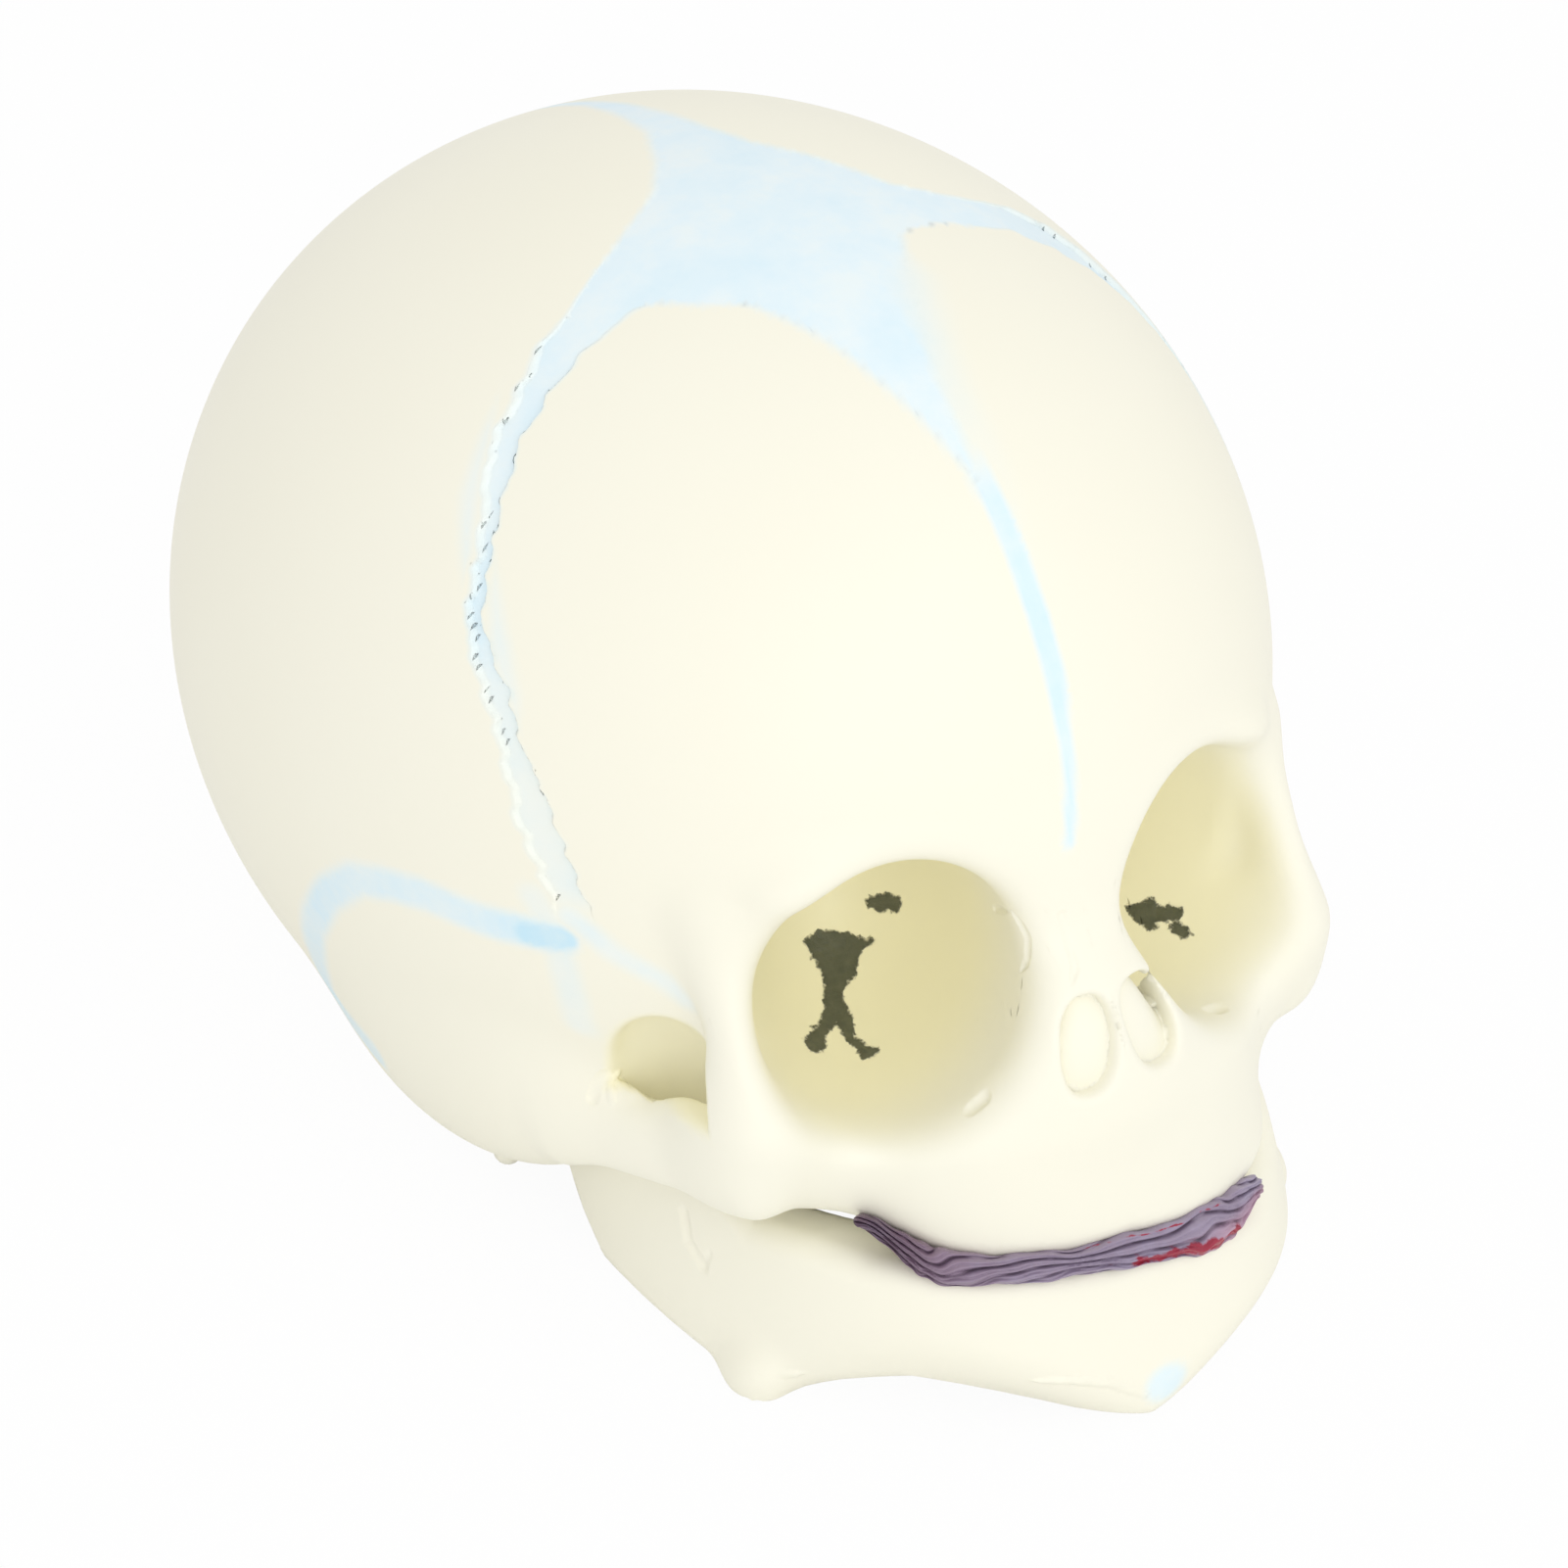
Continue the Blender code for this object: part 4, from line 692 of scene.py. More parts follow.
def foramen(point):
    """Great opening in the skull base."""
    oval = superoval(point[0], point[1] - FORAMEN_CENTRE,
                     FORAMEN_SIZE[0], FORAMEN_SIZE[1],
                     FORAMEN_SQUARENESS)
    return np.maximum(oval, point[2] - FORAMEN_TOP)


def cavity(point):
    """Hollow of the braincase, clear of the eye sockets and the solid face."""
    hollow = braincase(point, PLATE_THICKNESS, BASE_THICKNESS)
    hollow = meet(hollow, ORBIT_WALL - orbit(point), SOFT)
    hollow = meet(hollow, TEMPLE_WALL - temple(point), SOFT)
    return meet(hollow, -ellipsoid(point, CORE_CENTRE, CORE_SIZE), SOFT)


def jaw_outline(point):
    """Plan of the jaw: a broad arcade above running to a pointed chin below."""
    lean = JAW_INWARD_LEAN * np.maximum(point[2] - JAW_LEAN_LEVEL, 0.0)
    ahead = np.minimum(point[1] - JAW_CENTRE, 0.0)
    oval = superoval(np.abs(point[0]) + lean, ahead, JAW_SIZE[0],
                     JAW_SIZE[1], JAW_SQUARENESS)
    rise = np.maximum(height_above_floor(point), 0.0)
    chin = (CHIN_NORMAL[0] * np.abs(point[0]) + CHIN_NORMAL[1] * point[1]
            - CHIN_PLANE - CHIN_LEAN * rise)
    return meet(oval, chin, FIRM)


def jaw_top(point):
    """Height of the upper edge of the jaw along its run."""
    return along(point[1], JAW_RUN, JAW_TOP)


def jaw_form(point):
    """Lower jaw with its two branches and condyles."""
    skew = JAW_SKEW * point[0] * ramp(-point[1], *JAW_SKEW_RUN)
    flat = point
    point = (point[0], point[1], point[2] + skew)
    outline = jaw_outline(point)
    under = along(point[1], JAW_UNDER_RUN, JAW_UNDER)
    wall = along(point[1], JAW_WALL_RUN, JAW_WALL)
    band = all_of(outline, -outline - wall, point[1] - JAW_REAR)
    rise = all_of(point[2] - jaw_top(point), under - point[2], -height_above_floor(flat))
    form = rounded(band, rise, JAW_ROUND)
    form = join(form, ellipsoid(point, GONION_CENTRE, GONION_SIZE), FIRM)
    form = np.maximum(form, -height_above_floor(flat))
    return join(form, ellipsoid(point, CONDYLE_CENTRE, CONDYLE_SIZE),
                CRISP)


def symphysis_form(point):
    """Wedge of cartilage let into the point of the chin."""
    outline = jaw_outline(point)
    return all_of(np.abs(point[0]) - SYMPHYSIS_WIDTH,
                  point[2] - SYMPHYSIS_TOP,
                  -outline - SYMPHYSIS_DEPTH)


def swung(point, angle):
    """Point carried back by the jaw's opening angle about the hinge."""
    hinge = CONDYLE_CENTRE
    y, z = turned(point[1] - hinge[1], point[2] - hinge[2], angle)
    return point[0], y + hinge[1], z + hinge[2]


def jaw_sweep(point):
    """Space that the jaw passes through while it opens."""
    angles = np.linspace(0.0, JAW_OPENING, SWEEP_STEPS)
    return any_of(*(jaw_form(swung(point, angle)) for angle in angles)) - JAW_CLEARANCE


def ear_ring(point):
    """Ring of bone round the ear opening."""
    centre = RING_CENTRE
    x = np.abs(point[0]) - centre[0]
    y = point[1] - centre[1]
    z = point[2] - centre[2]
    x, y = turned(x, y, RING_YAW)
    radial = np.sqrt(y ** 2 + z ** 2) - RING_RADIUS[0]
    return np.sqrt(radial ** 2 + x ** 2) - RING_RADIUS[1]


# Bone territories

def teeth(run, phase):
    """Gentle irregular scallops along a suture edge."""
    turn = 2.0 * math.pi * run / TOOTH_LENGTH + phase
    wave = np.sin(turn + TOOTH_WANDER * np.sin(turn / 3.7)) + np.sin(2.3 * turn + phase) / 3.0
    return TOOTH_DEPTH * wave


def plates(point):
    """Frontal and parietal plates of the vault, by the sutures between them alone."""
    x, y, z = point
    front = two_sided(x, z, RIGHT_FRONTAL, LEFT_FRONTAL) - teeth(z, 0.0)
    back = two_sided(x, z, RIGHT_PARIETAL, LEFT_PARIETAL) + teeth(z, 2.0)
    metopic = two_sided(x, y, RIGHT_METOPIC, LEFT_METOPIC) - np.abs(x)
    sagittal = two_sided(x, y, RIGHT_SAGITTAL, LEFT_SAGITTAL) - np.abs(x)
    frontal = meet(y - front, metopic * MIDLINE_STEEPNESS, CRISP)
    parietal = meet(back - y, sagittal * MIDLINE_STEEPNESS, CRISP)
    return frontal, parietal, y - front, metopic * MIDLINE_STEEPNESS


def lambdoid_line(point):
    """How far a point lies behind the lambdoid suture."""
    return (point[1] - LAMBDA[0] - LAMBDOID_SPREAD * np.abs(point[0])
            - LAMBDOID_SLOPE * (point[2] - LAMBDA[1])) * LAMBDOID_STEEPNESS


def territories(point):
    """Fields that share the outer form out between the bones of one side."""
    side = np.abs(point[0])
    y = point[1]
    z = point[2]
    band = SUTURE_BAND / 2.0
    brow = along(side, BROW_SEAM_RUN, BROW_SEAM)
    squamous = along(y, SQUAMOUS_RUN, SQUAMOUS_EDGE)
    depth = egg_depth(point) + VAULT_DEPTH
    inner_roof = np.maximum(depth, y - SPHENOID_EDGE[0])
    _, parietal_plate, coronal_front, metopic = plates(point)
    lambdoid = lambdoid_line(point)
    arch = all_of(ARCH_ZONE[0] - side, z - ARCH_ZONE[2],
                  y - SPHENOID_EDGE[2])
    arch_seam = y - ARCH_ZONE[1]
    cheek_seam = side - (CHEEK_SEAM + CHEEK_SEAM_SLOPE
                         * np.maximum(CHEEK_SEAM_LEVEL - z, 0.0))
    sphenoid_rear = y - along(side, SPHENOID_RUN, SPHENOID_EDGE)
    petrous = along(y, PETROUS_RUN, PETROUS_EDGE) - side
    exo = superoval(side, y - EXOCCIPITAL[2], EXOCCIPITAL[0],
                    EXOCCIPITAL[1], JAW_SQUARENESS)
    exo = np.maximum(exo, z - FORAMEN_TOP)
    basi = all_of(side - BASIOCCIPITAL[0], y - BASIOCCIPITAL[1],
                  BASIOCCIPITAL[2] - y, z - FORAMEN_TOP)
    cheek_rear = y - CHEEK_REAR
    maxilla_rear = y - MAXILLA_REAR
    ethmoid = all_of(side - ETHMOID[0], ETHMOID[1] - y,
                     maxilla_rear, ETHMOID[2] - z, z - brow)
    nasal = block(point, NASAL_CENTRE, NASAL_SIZE)
    septum = block(point, SEPTUM_CENTRE, SEPTUM_SIZE)
    lacrimal = block(point, LACRIMAL_CENTRE, LACRIMAL_SIZE)
    ring = ear_ring(point)
    frontal = meet(any_of(coronal_front, inner_roof), metopic, CRISP)
    frontal = all_of(frontal, brow - z)
    parietal = meet(parietal_plate, squamous - z + band, CRISP)
    parietal = all_of(parietal, lambdoid + band, -depth)
    squama = all_of(-lambdoid + band, -exo, -basi)
    temporal_body = all_of(z - squamous, -sphenoid_rear, lambdoid, petrous, -exo, -basi)
    temporal = any_of(temporal_body, all_of(arch, -arch_seam))
    behind = any_of(-maxilla_rear, all_of(-cheek_rear, -cheek_seam))
    sphenoid = all_of(sphenoid_rear, z - brow, behind, -arch, -basi, -exo)
    cheek = all_of(cheek_rear, -cheek_seam, z - brow)
    cheek = any_of(cheek, all_of(arch, arch_seam, -cheek_seam))
    maxilla = all_of(maxilla_rear, cheek_seam, z - brow, -ethmoid, -nasal, -septum, -lacrimal)
    return {
        "frontal_bone": all_of(frontal, -nasal, -lacrimal),
        "parietal_bone": parietal,
        "occipital_squama": squama,
        "temporal_bone": np.maximum(temporal, -ring),
        "sphenoid_bone": np.maximum(sphenoid, -ring),
        "zygomatic_bone": cheek,
        "maxilla": maxilla,
        "exoccipital_bone": all_of(exo, -basi),
        "basioccipital_bone": basi,
        "ethmoid_bone": all_of(ethmoid, -lacrimal),
        "nasal_bone": nasal,
        "nasal_septum": all_of(septum, -nasal),
        "lacrimal_bone": lacrimal,
        "ear_ring": ring,
    }


def band_relief(point):
    """How far the suture bands lie below the plates beside them."""
    frontal, parietal, _, _ = plates(point)
    distance = any_of(frontal, parietal)
    deep = ramp(np.abs(point[0]), *BAND_FADE)
    above = ramp(point[2], *BAND_FOOT)
    step = (FONTANELLE_STEP + (BAND_STEP - FONTANELLE_STEP) * deep) * above
    coronal = step * ramp(distance, 0.0, BAND_EDGE) * (point[1] < 0.0)
    line = SUTURE_BAND / 2.0 - np.abs(lambdoid_line(point))
    lambdoid = LAMBDOID_STEP * ramp(line, 0.0, BAND_EDGE) * ramp(point[2], *REAR_FOOT)
    return coronal + lambdoid


def stroke(point, nodes, radius, flat=False):
    """How far inside a stroke along some nodes a point lies, for one or several half widths."""
    reach = None
    keep = np.array((0.0 if flat else 1.0, 1.0, 1.0))
    widths = radius if isinstance(radius, tuple) else (radius,) * len(nodes)
    for start, end, first, last in zip(nodes[:-1], nodes[1:], widths[:-1], widths[1:]):
        start = np.array(sized(start)) * keep
        span = np.array(sized(end)) * keep - start
        x = point[0] * keep[0] - start[0]
        y = point[1] - start[1]
        z = point[2] - start[2]
        share = np.clip((x * span[0] + y * span[1] + z * span[2]) / span.dot(span), 0.0, 1.0)
        far = np.sqrt((x - share * span[0]) ** 2 + (y - share * span[1]) ** 2
                      + (z - share * span[2]) ** 2)
        inside = first + (last - first) * share - far
        reach = inside if reach is None else np.maximum(reach, inside)
    return reach


def engraved(point, marks):
    """Depth of fine grooves, and of ridges where a depth is below zero."""
    total = np.zeros(np.shape(point[0]))
    for depth, radius, nodes in marks:
        total = total + depth * ramp(stroke(point, nodes, radius), 0.0, radius)
    return total


def skull_surface(point):
    """Field of the finished skull casting, hollow and with its fine relief."""
    sweep = jaw_sweep(point)
    pit = ellipsoid(point, RING_CENTRE, EAR_PIT)
    skin = skull_form(point) + band_relief(point) + engraved(point, SKULL_MARKS)
    skin = any_of(all_of(skin, -pit), ear_ring(point))
    skin = np.maximum(skin, -sweep)
    hollow = meet(cavity(point), ORBIT_WALL - any_of(sweep, pit), FIRM)
    return all_of(skin, -hollow, -foramen(point))


def jaw_surface(point):
    """Field of the finished lower jaw casting."""
    return jaw_form(point) + engraved(point, JAW_MARKS)


# Grid, labels and the shared mesh

def in_chunks(function, world, shift):
    """A function of skull points worked out over many world points."""
    parts = [function(to_skull(world[k:k + CHUNK], shift)) for k in range(0, len(world), CHUNK)]
    return np.concatenate(parts, axis=-1)


def labelled(low, high, step, surface, choose, shift):
    """Labels on a grid, worked out only in the blocks near or inside the form."""
    counts = [int(math.ceil((b - a) / (step * BLOCK))) for a, b in zip(low, high)]
    corner = np.array((-(counts[0] * BLOCK - 1) / 2.0 * step, low[1], low[2]))
    blocks = np.indices(counts).reshape(3, -1).T
    centre = corner + step * (BLOCK * blocks + (BLOCK - 1) / 2.0)
    near = in_chunks(surface, centre, shift) < NEAR_BLOCK * step * BLOCK
    inner = np.indices((BLOCK, BLOCK, BLOCK)).reshape(3, -1).T
    index = (blocks[near][:, None, :] * BLOCK + inner[None]).reshape(-1, 3)
    labels = np.zeros([count * BLOCK for count in counts], dtype=np.int16)
    labels[tuple(index.T)] = in_chunks(choose, corner + step * index, shift)
    return labels, corner


def netted(labels, corner, step):
    """One vertex in each mixed cell and two triangles across each changed grid edge."""
    windows = [labels[a:labels.shape[0] - 1 + a, b:labels.shape[1] - 1 + b,
                      c:labels.shape[2] - 1 + c] for a, b, c in np.ndindex(2, 2, 2)]
    low = windows[0]
    high = windows[0]
    for window in windows[1:]:
        low = np.minimum(low, window)
        high = np.maximum(high, window)
    mixed = low != high
    order = np.full(mixed.shape, -1)
    order[mixed] = np.arange(mixed.sum())
    vertices = corner + step * (np.argwhere(mixed) + 0.5)
    quads = []
    sides = []
    for axis in range(3):
        before = np.take(labels, np.arange(labels.shape[axis] - 1), axis)
        after = np.take(labels, np.arange(1, labels.shape[axis]), axis)
        edges = np.argwhere(before != after)
        u = np.zeros(3, dtype=int)
        v = np.zeros(3, dtype=int)
        u[(axis + 1) % 3] = 1
        v[(axis + 2) % 3] = 1
        ring = [order[tuple((edges - offset).T)] for offset in (u + v, v, 0 * u, u)]
        quads.append(np.stack(ring, axis=1))
        sides.append(np.stack((before[tuple(edges.T)], after[tuple(edges.T)]), axis=1))
    quads = np.concatenate(quads)
    sides = np.concatenate(sides)
    triangles = np.concatenate((quads[:, (0, 1, 2)], quads[:, (0, 2, 3)]))
    return vertices, triangles, np.concatenate((sides, sides))


def split_where(vertices, triangles, sides, wanted):
    """Halve every edge whose two ends are wanted."""
    edges = np.sort(np.stack((triangles, np.roll(triangles, -1, axis=1)), axis=2), axis=2)
    chosen = wanted[edges[..., 0]] & wanted[edges[..., 1]]
    keys = edges[..., 0] * np.int64(len(vertices)) + edges[..., 1]
    names, places = np.unique(keys[chosen], return_inverse=True)
    middle = np.full(keys.shape, -1)
    middle[chosen] = places + len(vertices)
    ends = np.stack((names // len(vertices), names % len(vertices)), axis=1)
    vertices = np.concatenate((vertices, vertices[ends].mean(axis=1)))
    count = chosen.sum(axis=1)
    whole = triangles[count == 0]
    one = count == 1
    first = np.argmax(chosen[one], axis=1)
    turn = (first[:, None] + np.arange(3)) % 3
    a, b, c = np.take_along_axis(triangles[one], turn, axis=1).T
    m = middle[one][np.arange(len(first)), first]
    three = count == 3
    p, q, r = triangles[three].T
    s, t, w = middle[three].T
    parts = [whole, np.stack((a, m, c), 1), np.stack((m, b, c), 1), np.stack((p, s, w), 1),
             np.stack((q, t, s), 1), np.stack((r, w, t), 1), np.stack((s, t, w), 1)]
    owners = [sides[count == 0], sides[one], sides[one]] + [sides[three]] * 4
    return vertices, np.concatenate(parts), np.concatenate(owners)


def relaxed(vertices, triangles, share):
    """Vertices drawn part of the way to the middle of their neighbours."""
    total = np.zeros_like(vertices)
    count = np.zeros(len(vertices))
    for a, b in ((0, 1), (1, 2), (2, 0), (1, 0), (2, 1), (0, 2)):
        for axis in range(3):
            total[:, axis] += np.bincount(triangles[:, a], vertices[triangles[:, b], axis],
                                          len(vertices))
        count += np.bincount(triangles[:, a], minlength=len(vertices))
    mean = total / np.maximum(count, 1.0)[:, None]
    return vertices + share * (mean - vertices)


def value_and_slope(function, vertices, shift):
    """A field and its gradient at many points."""
    middle = in_chunks(function, vertices, shift)
    slope = np.empty_like(vertices)
    for axis in range(3):
        probe = vertices.copy()
        probe[:, axis] += PROBE
        slope[:, axis] = (in_chunks(function, probe, shift) - middle) / PROBE
    return middle, slope


def on_skin(triangles, sides, count):
    """For each vertex, whether it is on the skin."""
    skin = np.zeros(count, dtype=bool)
    skin[triangles[(sides == 0).any(axis=1)]] = True
    return skin


def step_towards(function, points, shift, limit):
    """Points moved to where a field is zero, by no more than a limit."""
    value, slope = value_and_slope(function, points, shift)
    move = -value[:, None] * slope / (np.sum(slope ** 2, axis=1) + SOFT_PULL)[:, None]
    size = np.linalg.norm(move, axis=1)
    return points + move * np.minimum(1.0, limit / (size + 1e-12))[:, None]


def skin_faces(vertices, triangles, sides):
    """Triangles of the skin turned outwards, their area vectors and the sums at the vertices."""
    outside = (sides == 0).any(axis=1)
    faces = np.where(sides[outside, 1:2] == 0, triangles[outside], triangles[outside][:, ::-1])
    a, b, c = vertices[faces.T]
    cross = np.cross(b - a, c - a)
    total = np.zeros_like(vertices)
    for k in range(3):
        for axis in range(3):
            total[:, axis] += np.bincount(faces[:, k], cross[:, axis], len(vertices))
    return faces, cross, total / (np.linalg.norm(total, axis=1) + 1e-20)[:, None]


def unfolded(surface, vertices, triangles, sides, shift, step):
    """Vertices of folded skin triangles drawn among their neighbours until the folds open."""
    for _ in range(UNFOLD_ROUNDS):
        faces, cross, _ = skin_faces(vertices, triangles, sides)
        size = np.linalg.norm(cross, axis=1)
        wide = np.zeros_like(vertices)
        for k in range(3):
            for axis in range(3):
                wide[:, axis] += np.bincount(faces[:, k], cross[:, axis], len(vertices))
        around = wide[faces].sum(axis=1)
        turn = np.sum(cross * around, axis=1) / (
            size * np.linalg.norm(around, axis=1) + 1e-20)
        bad = (turn < FOLD_LIMIT) | (size < FOLD_AREA * np.median(size))
        touched = np.zeros(len(vertices), dtype=bool)
        touched[faces[bad]] = True
        touched[faces[touched[faces].any(axis=1)]] = True
        if not touched.any():
            break
        moved = relaxed(vertices, faces, UNFOLD_SHARE)
        vertices = np.where(touched[:, None], moved, vertices)
        vertices[touched] = step_towards(surface, vertices[touched], shift, 0.5 * step)
    return vertices


def skin_normals(surface, vertices, triangles, sides, shift):
    """Field gradients on the skin, and the mesh's own direction where the two disagree."""
    _, _, own = skin_faces(vertices, triangles, sides)
    skin = np.linalg.norm(own, axis=1) > 0.5
    slope = value_and_slope(surface, vertices[skin], shift)[1]
    slope = slope / (np.linalg.norm(slope, axis=1) + 1e-12)[:, None]
    trust = ramp(np.sum(slope * own[skin], axis=1), *NORMAL_TRUST)[:, None]
    normals = np.zeros_like(vertices)
    normals[skin] = trust * slope + (1.0 - trust) * own[skin]
    return normals / (np.linalg.norm(normals, axis=1) + 1e-20)[:, None]


def walls_sunk(surface, vertices, skin, shift, cover):
    """Vertices of the walls between pieces kept some way below the skin."""
    inner = vertices[~skin]
    value, slope = value_and_slope(surface, inner, shift)
    lift = np.clip(value + cover, 0.0, cover)
    result = vertices.copy()
    result[~skin] = inner - lift[:, None] * slope / (np.sum(slope ** 2, axis=1) + 0.01)[:, None]
    return result


def cast(surface, fields, low, high, step, shift, zones=()):
    """Shared mesh of a casting: vertices, triangles, their two labels and skin normals."""
    def choose(point):
        inside = surface(point) < 0.0
        result = np.zeros(len(point[0]), dtype=np.int16)
        kept = tuple(axis[inside] for axis in point)
        result[inside] = np.argmin(fields(kept), axis=0)
        return result

    labels, corner = labelled(low, high, step, surface, choose, shift)
    vertices, triangles, sides = netted(labels, corner, step)
    vertices = relaxed(vertices, triangles, EASE_SHARE)
    skin = on_skin(triangles, sides, len(vertices))
    skin_triangles = triangles[(sides == 0).any(axis=1)]
    for _ in range(EASE_ROUNDS):
        eased = relaxed(vertices, skin_triangles, EASE_SHARE)
        vertices[skin] = step_towards(surface, eased[skin], shift, 0.5 * step)
    vertices = unfolded(surface, vertices, triangles, sides, shift, step)
    vertices = walls_sunk(surface, vertices, skin, shift, WALL_COVER * step)
    for zone in zones:
        wanted = in_chunks(zone, vertices, shift) & skin
        vertices, triangles, sides = split_where(vertices, triangles, sides, wanted)
        step = step / 2.0
        skin = on_skin(triangles, sides, len(vertices))
        vertices[skin] = step_towards(surface, vertices[skin], shift, step)
    if zones:
        vertices = unfolded(surface, vertices, triangles, sides, shift, step)
    normals = skin_normals(surface, vertices, triangles, sides, shift)
    flush = (sides != 0).all(axis=1) & skin[triangles].all(axis=1)
    return vertices, triangles[~flush], sides[~flush], normals


# Pieces

def mesh_object(name, points, own, normals, values, finish):
    """Object from points and triangles, with vertex normals and one value layer per mask."""
    mesh = bpy.data.meshes.new(name)
    mesh.vertices.add(len(points))
    mesh.vertices.foreach_set("co", points.astype(np.float32).ravel())
    mesh.loops.add(len(own) * 3)
    mesh.loops.foreach_set("vertex_index", own.astype(np.int32).ravel())
    mesh.polygons.add(len(own))
    mesh.polygons.foreach_set("loop_start", np.arange(0, len(own) * 3, 3, dtype=np.int32))
    mesh.update(calc_edges=True)
    mesh.polygons.foreach_set("use_smooth", np.ones(len(own), dtype=bool))
    if normals is not None:
        mesh.normals_split_custom_set_from_vertices(normals.tolist())
    for title, value in zip(MASK_NAMES, values):
        layer = mesh.attributes.new(title, "FLOAT", "POINT")
        layer.data.foreach_set("value", value.astype(np.float32))
    mesh.materials.append(finish)
    result = bpy.data.objects.new(name, mesh)
    bpy.context.collection.objects.link(result)
    return result


def make_piece(name, shared, label, masks, shift, finish):
    """One piece of a casting as an object with its skin normals and paint masks."""
    vertices, triangles, sides, normals = shared
    own = np.concatenate((triangles[sides[:, 0] == label],
                          triangles[sides[:, 1] == label][:, ::-1]))
    used, own = np.unique(own, return_inverse=True)
    values = in_chunks(masks, vertices[used], shift)
    return mesh_object(name, vertices[used], own.reshape(-1, 3), normals[used], values, finish)


# Paint masks

def brushed(point, nodes, radius, softness):
    """Coverage of a soft stroke on both sides of the skull."""
    inside = stroke(point, nodes, radius, flat=True)
    wide = np.abs(point[0]) > SIDE_PAINT
    return ramp(inside, -softness / 2.0, softness / 2.0) * wide


def seam_paint(point):
    """Blue over the fontanelle and along the coronal, sagittal and lambdoid sutures."""
    frontal, parietal, _, _ = plates(point)
    soft = SEAM_PAINT_SOFTNESS
    fade = soft + (0.0030 - soft) * ramp(point[0], 0.0005, 0.0030) * ramp(-point[1], 0.0340, 0.0380)
    covered = ramp(any_of(frontal / (fade / soft), parietal), -soft, soft)
    covered = covered * ramp(point[2], *BAND_FOOT) * (point[1] < BAND_REAR)
    line = SUTURE_BAND / 2.0 - np.abs(lambdoid_line(point))
    rear = ramp(line, -soft, soft) * ramp(point[2], *REAR_FOOT)
    return np.maximum(covered, rear)


def metopic_paint(point):
    """Thin blue line down the middle of the forehead."""
    middle = along(point[2], *METOPIC_LINE)
    width = along(point[2], *METOPIC_WIDTH)
    line = ramp(width - np.abs(point[0] - middle), -0.00035, 0.00035)
    return (line * ramp(point[2], *METOPIC_FOOT) * (point[1] < METOPIC_REAR)
            * ramp(-point[2], *METOPIC_HEAD))


def thin_line(point):
    """Darker blue line along the front edge of the coronal suture."""
    frontal, _, _, _ = plates(point)
    line = ramp(0.00045 - np.abs(frontal + 0.0001), 0.0, 0.0003)
    return line * ramp(np.abs(point[0]), *BAND_FADE) * ramp(point[2], *LINE_FOOT)


def skull_masks(point):
    """Blue paint, its depth of tint, dark fissure paint and painted warm bounce light in the hollows
    of the skull.
    """
    both = (-np.abs(point[0]), point[1], point[2])
    seams = seam_paint(point)
    metopic = metopic_paint(point)
    loop = brushed(both, LOOP_NODES, LOOP_RADIUS, 1.4 * PAINT_SOFTNESS)
    streak = brushed(both, STREAK_NODES, STREAK_RADIUS, 1.6 * PAINT_SOFTNESS)
    wing = brushed(both, WING_NODES, WING_RADIUS, 1.6 * PAINT_SOFTNESS)
    dab = brushed(both, DAB_NODES, DAB_RADIUS, 0.8 * PAINT_SOFTNESS)
    behind = brushed(both, PARIETAL_GLOW_NODES, GLOW_RADII, GLOW_SOFTNESS)
    before = brushed(both, FRONTAL_GLOW_NODES, GLOW_RADII, GLOW_SOFTNESS)
    low = fall(point[2], *BAND_LOW) * ramp(np.abs(point[0]), *BAND_SIDE)
    paint = seams * (1.0 - 0.45 * low)
    for layer, strength in ((metopic, 1.0), (loop, 0.85), (streak, 0.45), (wing, 0.60),
                            (dab, 0.85), (behind, 0.55), (before, 0.50)):
        paint = np.maximum(paint, strength * layer)
    paint = paint * ramp(orbit(point), 0.0006, 0.0016)
    tint = 0.10 + 0.24 * metopic + 0.22 * loop + 0.60 * dab + 0.50 * thin_line(point)
    fissure = np.full(len(point[0]), -1.0)
    for radius, nodes in FISSURE_SETS:
        fissure = np.maximum(fissure, stroke(point, nodes, radius))
    fissure = np.clip(0.5 + fissure / FISSURE_SPREAD, 0.0, 1.0)
    # Painted warm bounce light: the deep eye sockets and the temple windows behind the cheeks are
    # coloured yellower, as light thrown about inside them would make them.
    socket = ramp(point[1], *SOCKET) * ramp(0.0012 - orbit(point), 0.0, 0.0010)
    window = ramp(0.0010 - temple(point), 0.0, 0.0010)
    return np.stack((paint, np.clip(tint, 0.0, 1.0), fissure, np.maximum(socket, window)))


def jaw_masks(point):
    """Small blue patch on the point of the chin."""
    across = (point[0] - CHIN_PATCH[0]) / (CHIN_PATCH_SIZE[0])
    up = (point[2] - CHIN_PATCH[1]) / (CHIN_PATCH_SIZE[1])
    paint = ramp(1.0 - np.sqrt(across ** 2 + up ** 2), -0.35, 0.35) * (point[1] < CHIN_FRONT)
    nothing = np.zeros(len(point[0]))
    return np.stack((0.8 * paint, nothing + 0.15, nothing, nothing))


# Materials

